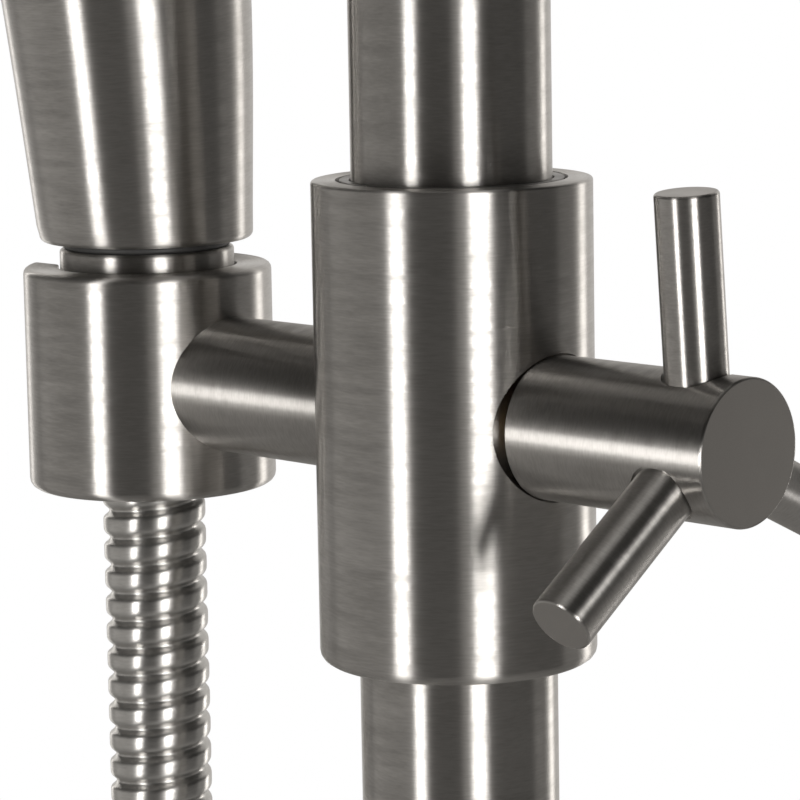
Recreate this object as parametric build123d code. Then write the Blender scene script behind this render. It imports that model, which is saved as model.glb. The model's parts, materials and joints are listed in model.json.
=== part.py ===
from build123d import *
import math
import os

# Exposed shower column, millimetres.
# The origin is on the wall, midway between the wall bracket's two screws.
# +Z is up and -Y points from the wall to the bather.

# Clearances and edges
running = 0.05            # radial play of what turns or slides in something else
face_gap = 0.4            # axial gap between faces that turn past each other
nut_chamfer = 1.0
lever_end_round = 0.8
lever_ring = 0.35         # fine step round each lever's root
lever_ring_depth = 0.9

# Column layout
stand_off = 60.0          # wall to rail axis
valve_drop = 1000.0       # bracket centre down to the valve axis
slider_drop = 260.0       # bracket centre down to the slider's centre as photographed

# Riser rail
rail_radius = 12.5
rail_wall = 1.2
rail_top = 70.0           # above the bracket centre

# Slider sleeve and its bushes
sleeve_radius = 17.5
sleeve_height = 60.5
sleeve_sink = 0.65        # sleeve's middle below the clamp's axis
sleeve_bottom_round = 1.4
sleeve_top_chamfer = 0.4
sleeve_play = 0.4         # middle bore to rail
bush_wall = 1.85
bush_length = 14.6
bush_proud = 0.6          # bush end past the sleeve's end

# Clamp knob of the slider
clamp_hub_radius = 8.9
clamp_hub_end = 46.9      # rail axis to the hub's end face
clamp_hole_play = 1.4     # hub to the hole in the sleeve
clamp_hole_floor = 14.8   # rail axis to the hole's floor
clamp_lever_radius = 3.85
clamp_lever_reach = 30.3
clamp_lever_inset = 7.2   # hub end face back to the levers' axis
clamp_lever_turn = 4.5    # degrees that the knob stands turned forward
clamp_hub_edge = 0.35
clamp_screw_radius = 4.0
clamp_nut_radius = 6.0
clamp_nut_end = 28.0      # rail axis to the clamp nut's outer end
clamp_nut_room = 1.0      # free depth in the hub past the nut
pad_length = 2.9

# Holder arm and cradle
cradle_reach = 57.3       # rail axis to cradle axis
bar_radius = 9.0
bar_seat = 15.6           # rail axis to the floor of the bar's seat in the sleeve
pivot_screw_radius = 2.5
pivot_screw_length = 12.0
pivot_head_radius = 5.0
pivot_head_height = 1.1
pivot_head_play = 0.3
pivot_web = 1.35          # sleeve wall left between the bar's seat and the screw's head
cradle_radius = 16.8
cradle_height = 30.0
cradle_bore = 14.0
cradle_edge = 1.2
cradle_top_edge = 0.5
slot_width = 15.4
bar_spigot_radius = 5.0
bar_spigot_gap = 2.0      # spigot's start past the screw's tip

# Cone nut and the hose's upper end, heights from the slider's centre
nut_foot = -9.0
nut_foot_radius = 9.9
nut_neck = 13.0
nut_neck_radius = 11.5
nut_collar_radius = 11.8
nut_top = 17.4
nut_socket_radius = 10.1
nut_collar_edge = 0.4
nut_shoulder = 5.0
seal_height = 1.0
seal_radius = 11.3
ferrule_radius = 7.6
ferrule_flange = 2.4
ferrule_length = 13.0     # flange's foot down to the hose
ferrule_bore = 4.5

# Handset, heights above the handle's foot, offsets towards the bather
handle_foot_radius = 14.45
handle_stations = [       # height, forward offset, radius
    (32.0, 2.2, 16.6),
    (70.0, 7.0, 18.2),
    (110.0, 15.0, 17.9),
    (150.0, 26.0, 15.3),
]
handle_wall = 2.4
tail_bore = 5.0
tail_into_handle = 4.0
head_lean = 40.0          # degrees that the disc leans forward of upright
head_radius = 50.0
head_rim = 9.0            # depth of the straight rim, from the disc's middle
head_back = 11.0          # height of the domed back
head_back_stations = [    # radius, height of the dome
    (30.0, 10.0),
    (45.0, 6.05),
    (50.0, 0.5),
]
head_wall = 2.5
head_overlap = 6.0        # how far the handle's top runs into the disc
head_face_thick = 2.0
head_mat_radius = 42.0
head_mat_thick = 1.5
head_nub_radius = 1.4
head_nub_proud = 2.0
head_ring_pitch = 10.0
head_rings = 4

# Mixing valve
valve_radius = 22.0
valve_half_length = 115.0
valve_channel = 8.0
supply_centres = 150.0
supply_radius = 10.4      # male thread into the wall
supply_tail = 14.0        # thread standing out behind the wall plane
supply_bore = 7.0
supply_body_radius = 12.0
supply_body_length = 14.0
inlet_boss_radius = 11.0
inlet_boss_end = 31.0     # wall to the boss's end
union_flange = 3.0
union_neck_radius = 9.6
union_nut_lip = 2.5
union_nut_flats = 30.0
union_nut_length = 13.0
filter_thick = 1.5
filter_bore = 6.0
escutcheon_radius = 32.0
escutcheon_height = 11.0
escutcheon_wall = 1.5
escutcheon_rim = 3.0      # height of the straight rim
escutcheon_slope = 9.0    # radius lost over the slope
escutcheon_shoulder = 2.5 # slope's end below the top
escutcheon_top = 4.0      # width of the flat top
escutcheon_ease = 0.6     # inner line's offset along the slope

# Cartridges and the three valve handles
cartridge_radius = 14.0
cartridge_depth = 38.0
cartridge_flange_radius = 17.0
cartridge_flange = 3.0
cartridge_neck_radius = 9.0
cartridge_neck = 12.0     # length in front of the seat
bonnet_radius = 20.0
bonnet_height = 9.0
bonnet_slope = (3.0, 2.0) # radius lost, height
stem_radius = 4.0
stem_depth = 28.0
stem_reach = 30.0
handle_hub_radius = 12.0
handle_hub_length = 40.0
handle_lever_radius = 4.4
handle_lever_reach = 38.0
handle_lever_inset = 9.0
handle_recess = 6.0
handle_edge = 0.5
grub_radius = 2.0
grub_from_seat = 24.0
grub_sunk = 0.8           # grub screw's end below the surface
diverter_boss_radius = 20.0
diverter_boss_height = 12.0

# Riser joint above the valve, heights from the valve axis
riser_boss_radius = 13.5
riser_boss_top = 34.0
riser_nut_radius = 17.0
riser_nut_height = 24.0
riser_nut_skirt = 8.0     # nut's foot below the boss's top
riser_seal_floor = 2.0
seal_ring = 2.0           # section of the o-rings

# Hose outlet under the valve
outlet_x = 60.0
outlet_boss_radius = 12.5
outlet_boss_drop = 28.0
outlet_flats = 21.0
outlet_flange = 6.0
outlet_thread_radius = 10.4
outlet_thread = 12.0
outlet_bore = 5.5
end_nut_flats = 25.0
end_nut_length = 18.0
end_nut_overlap = 10.0    # thread length that the nut covers
washer_thick = 1.5

# Hose
hose_radius = 7.0
hose_root_radius = 6.1
hose_bore = 4.5
hose_ribs = 190
rib_stations = [          # share of the pitch, radius
    (0.15, hose_root_radius),
    (0.3, hose_radius),
    (0.7, hose_radius),
    (0.85, hose_root_radius),
]
hose_steady_axis = (0.29, -0.957, 0.0)
hose_middle_route = [     # between the two ends, chosen by hand
    (-57.3, -60.0, -430.0),
    (-58.0, -68.5, -600.0),
    (-61.0, -90.0, -772.0),
    (-65.0, -105.5, -938.0),
    (-70.0, -108.0, -1100.0),
    (-75.0, -107.0, -1232.0),
    (-80.0, -106.0, -1325.0),
    (-36.7, -92.8, -1370.0),
    (24.7, -74.2, -1370.0),
    (68.0, -61.0, -1325.0),
    (66.0, -60.3, -1235.0),
    (60.0, -60.0, -1145.0),
]
run_share = 0.45          # share of the shorter run that an arc may use

# Wall bracket
flange_radius = 27.0
flange_thick = 6.0
flange_chamfer = 0.8
bracket_boss_radius = 13.0
bracket_boss = 14.0
bracket_post_radius = 9.0
bracket_ring_radius = 17.0
bracket_ring_height = 22.0
bracket_ring_chamfer = 0.6
post_socket = 15.5
wall_screw_centres = 36.0
wall_screw_radius = 2.4   # plain neck, in the flange
wall_thread_radius = 2.2
wall_screw_length = 30.0
wall_screw_head_radius = 4.4
wall_screw_head = 2.6
wall_screw_round = 1.2
wall_screw_socket = (1.6, 1.4)  # radius, depth

# Arm socket on the rail's top
socket_radius = 16.0
socket_grip = 26.0        # rail length inside the socket
socket_web = 2.0
socket_depth = 20.0       # arm length inside the socket
socket_ring_spacing = 6.0

# Overhead arm
arm_radius = 11.0
arm_wall = 1.2
arm_height = 270.0
arm_reach = 320.0
arm_drop = 55.0
arm_bend = 45.0

# Ball joint and rose
stud_collar_flats = 24.0
stud_collar = 10.0
stud_spigot = 12.0
stud_neck_radius = 5.5
stud_neck = 12.0
stud_bore = 3.0
ball_radius = 9.0
ball_below_neck = 4.95    # ball's centre below the neck's end
rose_nut_radius = 15.0
rose_mouth_depth = 3.0
rose_mouth_radii = (7.5, 9.5)
rose_nut_top = 8.0        # heights from the ball's centre
rose_nut_foot = -12.0
rose_boss_radius = 12.2
rose_boss_top = -8.0
rose_boss_foot = -20.0
seat_top = -3.0
rose_radius = 100.0
rose_wall = 2.5
rose_shoulder = 8.0       # fall of the back from boss to rim
rose_rim = 10.0
rose_step = 8.0           # width of the flat round the boss
rose_edge = 2.0
rose_face_thick = 2.5
rose_mat_radius = 90.0
rose_mat_thick = 2.0
rose_nub_radius = 1.8
rose_nub_proud = 2.5
rose_ring_pitch = 20.0
rose_rings = 5

nub_play = 0.1            # nozzle to its hole in the face

# Places worked out from the sizes
rail_y = -stand_off
valve_z = -valve_drop
slider_z = -slider_drop
sleeve_z = slider_z - sleeve_sink
rail_foot = valve_z + riser_boss_top
bush_outer = rail_radius + running + bush_wall
cradle_axis = (-cradle_reach, rail_y)
arm_end_z = arm_height - arm_drop
ball_z = arm_end_z - stud_collar - stud_neck - ball_below_neck
ball_centre = (0, rail_y - arm_reach, ball_z)

UP = (0, 0, 1)
DOWN = (0, 0, -1)
OUT = (0, -1, 0)
BACK = (0, 1, 0)
LEFT = (-1, 0, 0)
RIGHT = (1, 0, 0)
FROM_FOOT = (Align.CENTER, Align.CENTER, Align.MIN)


def rod(radius, start, direction, length):
    """A solid cylinder that starts at a point and runs in a direction."""
    return Plane(origin=start, z_dir=direction) * Cylinder(radius, length, align=FROM_FOOT)


def tube(outer, inner, start, direction, length):
    return rod(outer, start, direction, length) - rod(inner, start, direction, length)


def turned(profile, start, direction):
    """A lathe part: a closed outline of (radius, distance along the axis)."""
    outline = Plane.XZ * make_face(Polyline(*profile, close=True))
    return Plane(origin=start, z_dir=direction) * revolve(outline, Axis.Z)


def hexagon(flats, start, direction, length):
    blank = extrude(RegularPolygon(flats / 2, 6, major_radius=False), length)
    return Plane(origin=start, z_dir=direction) * blank


def shifted(point, direction, distance):
    return tuple(p + d * distance for p, d in zip(point, direction))


def nozzle_places(rings, pitch):
    """Six more places on each ring round a centre one."""
    places = [(0.0, 0.0)]
    for ring in range(1, rings):
        for step in range(6 * ring):
            angle = math.radians(360 * step / (6 * ring))
            places.append((ring * pitch * math.cos(angle), ring * pitch * math.sin(angle)))
    return places


def make_rail():
    length = rail_top - rail_foot
    return tube(rail_radius, rail_radius - rail_wall, (0, rail_y, rail_foot), UP, length)


def make_riser_nut():
    skirt = -riser_nut_skirt
    seal_roof = riser_seal_floor + 2 * seal_ring
    top = riser_nut_height - riser_nut_skirt
    profile = [
        (riser_boss_radius, skirt),
        (riser_nut_radius, skirt),
        (riser_nut_radius, top - nut_chamfer),
        (riser_nut_radius - nut_chamfer, top),
        (rail_radius, top),
        (rail_radius, seal_roof),
        (riser_boss_radius, seal_roof),
    ]
    return turned(profile, (0, rail_y, rail_foot), UP)


def make_o_rings():
    """The rail's seal in the riser nut, and two in the arm socket."""
    wide = riser_boss_radius - rail_radius
    rail_seal = tube(rail_radius + wide, rail_radius, (0, rail_y, rail_foot + seal_ring), UP, seal_ring)
    inner = arm_radius + running
    rings = [rail_seal]
    for height in socket_ring_heights():
        rings.append(tube(inner + seal_ring, inner, (0, rail_y, height), UP, seal_ring))
    return Compound(rings)


def socket_ring_heights():
    first = rail_top + socket_web + socket_ring_spacing
    return [first, first + socket_ring_spacing]


def make_arm_socket():
    foot = rail_top - socket_grip
    height = socket_grip + socket_web + socket_depth
    body = rod(socket_radius, (0, rail_y, foot), UP, height)
    body = chamfer(body.edges().group_by(Axis.Z)[-1], nut_chamfer)
    body -= rod(rail_radius, (0, rail_y, foot), UP, socket_grip)
    body -= rod(arm_radius - arm_wall, (0, rail_y, foot), UP, height)
    body -= rod(arm_radius + running, (0, rail_y, rail_top + socket_web), UP, socket_depth)
    for ring_height in socket_ring_heights():
        body -= rod(arm_radius + running + seal_ring, (0, rail_y, ring_height), UP, seal_ring)
    return body


def make_overhead_arm():
    foot = (0, rail_y, rail_top + socket_web)
    end_y = rail_y - arm_reach
    points = [foot, (0, rail_y, arm_height), (0, end_y, arm_height), (0, end_y, arm_end_z)]
    path = FilletPolyline(*points, radius=arm_bend)
    section = Plane(origin=foot, z_dir=UP) * (Circle(arm_radius) - Circle(arm_radius - arm_wall))
    return sweep(section, path=path)


def make_ball_stud():
    end = (0, rail_y - arm_reach, arm_end_z)
    neck_top = shifted(end, DOWN, stud_collar)
    neck_length = neck_top[2] - ball_centre[2]
    stud = rod(arm_radius - arm_wall - running, shifted(end, UP, stud_spigot), DOWN, stud_spigot)
    stud += hexagon(stud_collar_flats, end, DOWN, stud_collar)
    stud += rod(stud_neck_radius, neck_top, DOWN, neck_length)
    stud += Pos(*ball_centre) * Sphere(ball_radius)
    through = stud_spigot + stud_collar + neck_length + ball_radius
    return stud - rod(stud_bore, shifted(end, UP, stud_spigot), DOWN, through)


def make_ball_seat():
    foot = shifted(ball_centre, UP, rose_boss_top)
    seat = tube(rose_boss_radius, stud_neck_radius, foot, UP, seat_top - rose_boss_top)
    return seat - Pos(*ball_centre) * Sphere(ball_radius + running)


def make_rose_nut():
    foot = shifted(ball_centre, UP, rose_nut_foot)
    height = rose_nut_top - rose_nut_foot
    nut = rod(rose_nut_radius, foot, UP, height)
    nut = chamfer(nut.edges().group_by(Axis.Z)[-1], nut_chamfer)
    nut -= rod(rose_boss_radius, foot, UP, seat_top - rose_nut_foot)
    nut -= Pos(*ball_centre) * Sphere(ball_radius + running)
    mouth_foot = rose_nut_top - rose_mouth_depth
    mouth = Cone(*rose_mouth_radii, rose_mouth_depth, align=FROM_FOOT)
    return nut - Pos(*shifted(ball_centre, UP, mouth_foot)) * mouth


def rose_levels():
    """Heights from the ball's centre: shoulder, top of rim, foot of rim."""
    shoulder = rose_boss_foot
    rim_top = shoulder - rose_shoulder
    return shoulder, rim_top, rim_top - rose_rim


def make_rose_body():
    shoulder, rim_top, rim_foot = rose_levels()
    inside = rose_radius - rose_wall
    profile = [
        (tail_bore, rose_boss_top),
        (rose_boss_radius, rose_boss_top),
        (rose_boss_radius, shoulder),
        (rose_boss_radius + rose_step, shoulder - rose_edge),
        (rose_radius - rose_edge, rim_top),
        (rose_radius, rim_top - rose_edge),
        (rose_radius, rim_foot),
        (inside, rim_foot),
        (inside, rim_top - rose_wall),
        (rose_boss_radius + rose_step, shoulder - rose_edge - rose_wall),
        (tail_bore, shoulder - rose_wall),
    ]
    return turned(profile, ball_centre, UP)


def make_face_disc(centre, back, radius, thick, nub_radius, rings, pitch):
    """A spray face; the centre is on its outer side and it grows towards the back."""
    plane = Plane(origin=centre, z_dir=back)
    holes = [Pos(x, y) * Circle(nub_radius + nub_play) for x, y in nozzle_places(rings, pitch)]
    return plane * extrude(Circle(radius) - holes, thick)


def make_nozzles(centre, back, radius, thick, face_thick, nub_radius, proud, rings, pitch):
    """A soft mat behind the face, with its nozzles through the face's holes."""
    plane = Plane(origin=centre, z_dir=back)
    mat = Pos(0, 0, face_thick) * extrude(Circle(radius), thick)
    spots = [Pos(x, y) * Circle(nub_radius) for x, y in nozzle_places(rings, pitch)]
    nubs = Pos(0, 0, -proud) * extrude(Sketch() + spots, proud + face_thick)
    return plane * (mat + nubs)


def make_rose_face():
    centre = shifted(ball_centre, UP, rose_levels()[2])
    return make_face_disc(centre, UP, rose_radius - rose_wall, rose_face_thick, rose_nub_radius,
                          rose_rings, rose_ring_pitch)


def make_rose_nozzles():
    centre = shifted(ball_centre, UP, rose_levels()[2])
    return make_nozzles(centre, UP, rose_mat_radius, rose_mat_thick, rose_face_thick, rose_nub_radius,
                        rose_nub_proud, rose_rings, rose_ring_pitch)


def make_bracket_flange():
    """Wall plate with a boss that takes the post, and two screw holes."""
    plate = rod(flange_radius, (0, 0, 0), OUT, flange_thick)
    plate = chamfer(plate.edges().group_by(Axis.Y)[0], flange_chamfer)
    boss = rod(bracket_boss_radius, (0, -flange_thick, 0), OUT, bracket_boss)
    socket = rod(bracket_post_radius, (0, -flange_thick - bracket_boss, 0), BACK, post_socket)
    holes = []
    for side in (-1, 1):
        place = (side * wall_screw_centres / 2, 0, 0)
        holes.append(rod(wall_screw_radius, place, OUT, flange_thick))
        head_seat = shifted(place, OUT, flange_thick - wall_screw_head)
        holes.append(rod(wall_screw_head_radius, head_seat, OUT, flange_thick))
    grub = rod(grub_radius, (0, grub_y(), 0), DOWN, bracket_boss_radius)
    return plate + boss - socket - holes - grub


def grub_y():
    return -flange_thick - bracket_boss / 2


def make_bracket_arm():
    """Post and ring in one piece, with the rail passing through the ring."""
    foot_y = -flange_thick - bracket_boss + post_socket
    post = rod(bracket_post_radius, (0, foot_y, 0), OUT, stand_off + foot_y)
    ring_foot = (0, rail_y, -bracket_ring_height / 2)
    ring = rod(bracket_ring_radius, ring_foot, UP, bracket_ring_height)
    ring = chamfer(ring.edges(), bracket_ring_chamfer)
    return post + ring - rod(rail_radius, ring_foot, UP, bracket_ring_height)


def make_bracket_grub_screw():
    length = bracket_boss_radius - bracket_post_radius - grub_sunk
    return rod(grub_radius, (0, grub_y(), -bracket_post_radius), DOWN, length)


def make_wall_screws():
    screws = []
    socket_radius_here, socket_depth_here = wall_screw_socket
    for side in (-1, 1):
        head_seat = (side * wall_screw_centres / 2, wall_screw_head - flange_thick, 0)
        head = rod(wall_screw_head_radius, head_seat, OUT, wall_screw_head)
        head = fillet(head.edges().group_by(Axis.Y)[0], wall_screw_round)
        recess = rod(socket_radius_here, shifted(head_seat, OUT, wall_screw_head), BACK, socket_depth_here)
        neck = rod(wall_screw_radius, head_seat, BACK, flange_thick - wall_screw_head)
        thread = rod(wall_thread_radius, (side * wall_screw_centres / 2, 0, 0), BACK, wall_screw_length)
        screws.append(head + neck + thread - recess)
    return Compound(screws)


def supply_places():
    return [(side * supply_centres / 2, 0, valve_z) for side in (-1, 1)]


def make_valve_body():
    centre = (0, rail_y, valve_z)
    body = rod(valve_radius, (-valve_half_length, rail_y, valve_z), RIGHT, 2 * valve_half_length)
    body = chamfer(body.edges().filter_by(GeomType.CIRCLE), nut_chamfer)
    body += rod(riser_boss_radius, centre, UP, riser_boss_top)
    body += rod(diverter_boss_radius, centre, OUT, valve_radius + diverter_boss_height)
    body += rod(outlet_boss_radius, (outlet_x, rail_y, valve_z), DOWN, outlet_boss_drop)
    for place in supply_places():
        axis_point = (place[0], rail_y, valve_z)
        body += rod(inlet_boss_radius, axis_point, BACK, stand_off - inlet_boss_end)
    body -= rod(valve_channel, (-valve_half_length, rail_y, valve_z), RIGHT, 2 * valve_half_length)
    body -= rod(valve_channel, centre, UP, riser_boss_top)
    body -= rod(outlet_bore, (outlet_x, rail_y, valve_z), DOWN, outlet_boss_drop)
    for place in supply_places():
        axis_point = (place[0], rail_y, valve_z)
        body -= rod(supply_bore, axis_point, BACK, stand_off - inlet_boss_end)
    for seat, direction in cartridge_seats():
        into = tuple(-d for d in direction)
        body -= rod(cartridge_radius, seat, into, cartridge_depth)
    return body


def cartridge_seats():
    """Seat centre and outward direction: hot, cold and diverter."""
    front = rail_y - valve_radius - diverter_boss_height
    return [
        ((-valve_half_length, rail_y, valve_z), LEFT),
        ((valve_half_length, rail_y, valve_z), RIGHT),
        ((0, front, valve_z), OUT),
    ]


def make_cartridge(seat, direction):
    profile = [
        (stem_radius + running, -cartridge_depth),
        (cartridge_radius, -cartridge_depth),
        (cartridge_radius, 0),
        (cartridge_flange_radius, 0),
        (cartridge_flange_radius, cartridge_flange),
        (cartridge_neck_radius, cartridge_flange),
        (cartridge_neck_radius, cartridge_neck),
        (stem_radius + running, cartridge_neck),
    ]
    return turned(profile, seat, direction)


def make_bonnet(seat, direction):
    slope_width, slope_height = bonnet_slope
    profile = [
        (cartridge_flange_radius, 0),
        (bonnet_radius, 0),
        (bonnet_radius, bonnet_height - slope_height),
        (bonnet_radius - slope_width, bonnet_height),
        (cartridge_neck_radius, bonnet_height),
        (cartridge_neck_radius, cartridge_flange),
        (cartridge_flange_radius, cartridge_flange),
    ]
    return turned(profile, seat, direction)


def make_bonnet_nuts():
    return Compound([make_bonnet(seat, direction) for seat, direction in cartridge_seats()])


def make_stem(seat, direction):
    start = shifted(seat, direction, -stem_depth)
    return rod(stem_radius, start, direction, stem_depth + stem_reach)


def hub_start(seat, direction):
    return shifted(seat, direction, bonnet_height + face_gap)


def lever_directions(across, upright, turn):
    """Three directions 120 degrees apart, square to the knob's axis."""
    directions = []
    for step in range(3):
        angle = math.radians(turn + 120 * step)
        parts = zip(across, upright)
        directions.append(tuple(a * math.sin(angle) + u * math.cos(angle) for a, u in parts))
    return directions


def lever_root(radius):
    """Knob's axis to the flat that a lever's inner end meets."""
    return 1.2 * radius


def make_lever(centre, direction, radius, reach):
    root = lever_root(radius)
    lever = rod(radius, shifted(centre, direction, root), direction, reach - root)
    end = lever.edges().sort_by_distance(shifted(centre, direction, reach))[0]
    return fillet(end, lever_end_round)


def make_levers(centre, directions, radius, reach):
    return Compound([make_lever(centre, direction, radius, reach) for direction in directions])


def lever_holes(centre, directions, radius, hub_radius):
    """Each lever's socket, with a fine countersunk ring round it."""
    holes = []
    ring_foot = hub_radius - lever_ring_depth
    for direction in directions:
        root = lever_root(radius)
        holes.append(rod(radius, shifted(centre, direction, root), direction, hub_radius))
        ring_start = shifted(centre, direction, ring_foot)
        holes.append(rod(radius + lever_ring, ring_start, direction, hub_radius - ring_foot))
    return holes


def handle_parts(seat, direction, across):
    """Hub, levers and grub screw of one valve handle."""
    start = hub_start(seat, direction)
    lever_centre = shifted(start, direction, handle_hub_length - handle_lever_inset)
    directions = lever_directions(across, UP, 0)
    hub = rod(handle_hub_radius, start, direction, handle_hub_length)
    hub = chamfer(hub.edges().filter_by(GeomType.CIRCLE), handle_edge)
    hub -= rod(cartridge_neck_radius + face_gap, start, direction, handle_recess)
    stem_in_hub = stem_reach - bonnet_height - face_gap
    hub -= rod(stem_radius, start, direction, stem_in_hub)
    for hole in lever_holes(lever_centre, directions, handle_lever_radius, handle_hub_radius):
        hub -= hole
    grub_centre = shifted(seat, direction, grub_from_seat)
    hub -= rod(grub_radius, grub_centre, DOWN, handle_hub_radius)
    grub_length = handle_hub_radius - stem_radius - grub_sunk
    grub = rod(grub_radius, shifted(grub_centre, DOWN, stem_radius), DOWN, grub_length)
    levers = make_levers(lever_centre, directions, handle_lever_radius, handle_lever_reach)
    return hub, levers, grub


def make_union(place):
    """Supply union: male thread behind the wall plane, body, and flange at the valve."""
    x = place[0]
    flange_foot = inlet_boss_end - filter_thick
    body = rod(supply_radius, (x, supply_tail, valve_z), OUT, supply_tail)
    body += rod(supply_body_radius, (x, 0, valve_z), OUT, supply_body_length)
    body += rod(union_neck_radius, (x, 0, valve_z), OUT, flange_foot)
    body += rod(inlet_boss_radius, (x, union_flange - flange_foot, valve_z), OUT, union_flange)
    return body - rod(supply_bore, (x, supply_tail, valve_z), OUT, supply_tail + flange_foot)


def make_union_nuts():
    nuts = []
    for place in supply_places():
        x = place[0]
        shoulder_y = -(inlet_boss_end - filter_thick - union_flange)
        foot_y = shoulder_y + union_nut_lip
        nut = hexagon(union_nut_flats, (x, foot_y, valve_z), OUT, union_nut_length)
        nut -= rod(union_neck_radius, (x, foot_y, valve_z), OUT, union_nut_length)
        nut -= rod(inlet_boss_radius, (x, shoulder_y, valve_z), OUT, union_nut_length)
        nuts.append(nut)
    return Compound(nuts)


def make_inlet_filters():
    filters = []
    for place in supply_places():
        start = (place[0], -(inlet_boss_end - filter_thick), valve_z)
        filters.append(tube(inlet_boss_radius, filter_bore, start, OUT, filter_thick))
    return Compound(filters)


def make_escutcheons():
    """Two domed covers, hollow behind, resting on the wall."""
    covers = []
    rim, wall, height = escutcheon_radius, escutcheon_wall, escutcheon_height
    shoulder = height - escutcheon_shoulder
    top_edge = supply_body_radius + escutcheon_top
    slope_end = rim - escutcheon_slope
    profile = [
        (rim - wall, 0),
        (rim, 0),
        (rim, escutcheon_rim),
        (slope_end, shoulder),
        (top_edge, height),
        (supply_body_radius, height),
        (supply_body_radius, height - wall),
        (top_edge - escutcheon_ease, height - wall),
        (slope_end - escutcheon_ease, shoulder - wall),
        (rim - wall, escutcheon_rim - escutcheon_ease),
    ]
    for place in supply_places():
        covers.append(turned(profile, place, OUT))
    return Compound(covers)


def outlet_foot():
    """Centre of the outlet boss's lower face."""
    return (outlet_x, rail_y, valve_z - outlet_boss_drop)


def outlet_thread_end():
    return shifted(outlet_foot(), DOWN, outlet_flange + outlet_thread)


def hose_end():
    """Where the hose leaves its lower ferrule."""
    return shifted(outlet_thread_end(), DOWN, washer_thick + ferrule_length)


def make_hose_outlet():
    foot = outlet_foot()
    nipple = hexagon(outlet_flats, foot, DOWN, outlet_flange)
    nipple += rod(outlet_thread_radius, foot, DOWN, outlet_flange + outlet_thread)
    return nipple - rod(outlet_bore, foot, DOWN, outlet_flange + outlet_thread)


def make_hose_washer():
    return tube(outlet_thread_radius, ferrule_bore, outlet_thread_end(), DOWN, washer_thick)


def make_ferrule(flange_face, direction, flange_radius_here):
    """A crimped ferrule: a flange, then a sleeve down to the hose."""
    body = rod(flange_radius_here, flange_face, direction, ferrule_flange)
    body += rod(ferrule_radius, flange_face, direction, ferrule_length)
    return body - rod(ferrule_bore, flange_face, direction, ferrule_length)


def make_hose_end_ferrule():
    return make_ferrule(shifted(outlet_thread_end(), DOWN, washer_thick), DOWN, outlet_thread_radius)


def make_hose_end_nut():
    start = shifted(outlet_thread_end(), UP, end_nut_overlap)
    nut = hexagon(end_nut_flats, start, DOWN, end_nut_length)
    wide_length = end_nut_overlap + washer_thick + ferrule_flange
    nut -= rod(outlet_thread_radius, start, DOWN, wide_length)
    return nut - rod(ferrule_radius, start, DOWN, end_nut_length)


def make_slider_bushes():
    """Two bushes that run on the rail; the sleeve turns round them."""
    inner = rail_radius + running
    end = sleeve_height / 2 + bush_proud
    upper = tube(bush_outer, inner, (0, rail_y, sleeve_z + end - bush_length), UP, bush_length)
    lower = tube(bush_outer, inner, (0, rail_y, sleeve_z - end), UP, bush_length)
    return Compound([upper, lower])


def clamp_axis(distance):
    """A point on the clamp's axis, at a distance from the rail's axis."""
    return (distance, rail_y, slider_z)


def make_slider_sleeve():
    half = sleeve_height / 2
    foot = (0, rail_y, sleeve_z - half)
    sleeve = rod(sleeve_radius, foot, UP, sleeve_height)
    sleeve = fillet(sleeve.edges().group_by(Axis.Z)[0], sleeve_bottom_round)
    sleeve = chamfer(sleeve.edges().group_by(Axis.Z)[-1], sleeve_top_chamfer)
    sleeve -= rod(rail_radius + sleeve_play, foot, UP, sleeve_height)
    seat_depth = bush_length - bush_proud + running
    seat_radius = bush_outer + running
    sleeve -= rod(seat_radius, foot, UP, seat_depth)
    sleeve -= rod(seat_radius, (0, rail_y, sleeve_z + half), DOWN, seat_depth)
    sleeve -= rod(clamp_hub_radius + clamp_hole_play, clamp_axis(clamp_hole_floor), RIGHT, sleeve_radius)
    sleeve -= rod(clamp_nut_radius, clamp_axis(0), RIGHT, sleeve_radius)
    sleeve -= rod(bar_radius + running, clamp_axis(-bar_seat), LEFT, sleeve_radius)
    sleeve -= rod(pivot_screw_radius + running, clamp_axis(0), LEFT, sleeve_radius)
    head_seat = clamp_axis(pivot_web - bar_seat)
    return sleeve - rod(pivot_head_radius + pivot_head_play, head_seat, RIGHT, rail_radius)


def make_clamp_nut():
    nut_foot_x = rail_radius + sleeve_play
    nut = rod(clamp_nut_radius, clamp_axis(0), RIGHT, clamp_nut_end)
    nut -= rod(nut_foot_x, (0, rail_y, slider_z - sleeve_height / 2), UP, sleeve_height)
    return nut - rod(clamp_screw_radius + running, clamp_axis(0), RIGHT, clamp_nut_end)


def pad_outer_end():
    return rail_radius + running + pad_length


def make_brake_pad():
    pad = rod(clamp_screw_radius, clamp_axis(0), RIGHT, pad_outer_end())
    return pad - rod(rail_radius + running, (0, rail_y, slider_z - sleeve_height / 2), UP, sleeve_height)


def clamp_lever_centre():
    return clamp_axis(clamp_hub_end - clamp_lever_inset)


def spindle_end():
    return clamp_hub_end - clamp_lever_inset - lever_root(clamp_lever_radius)


def make_clamp_spindle():
    length = spindle_end() - pad_outer_end()
    return rod(clamp_screw_radius, clamp_axis(pad_outer_end()), RIGHT, length)


def make_clamp_hub():
    start = clamp_hole_floor + face_gap
    hub = rod(clamp_hub_radius, clamp_axis(start), RIGHT, clamp_hub_end - start)
    hub = chamfer(hub.edges().filter_by(GeomType.CIRCLE), clamp_hub_edge)
    nut_room = clamp_nut_end + clamp_nut_room - start
    hub -= rod(clamp_nut_radius + face_gap, clamp_axis(start), RIGHT, nut_room)
    hub -= rod(clamp_screw_radius, clamp_axis(start), RIGHT, spindle_end() - start)
    directions = lever_directions(OUT, UP, clamp_lever_turn)
    for hole in lever_holes(clamp_lever_centre(), directions, clamp_lever_radius, clamp_hub_radius):
        hub -= hole
    return hub


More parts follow.
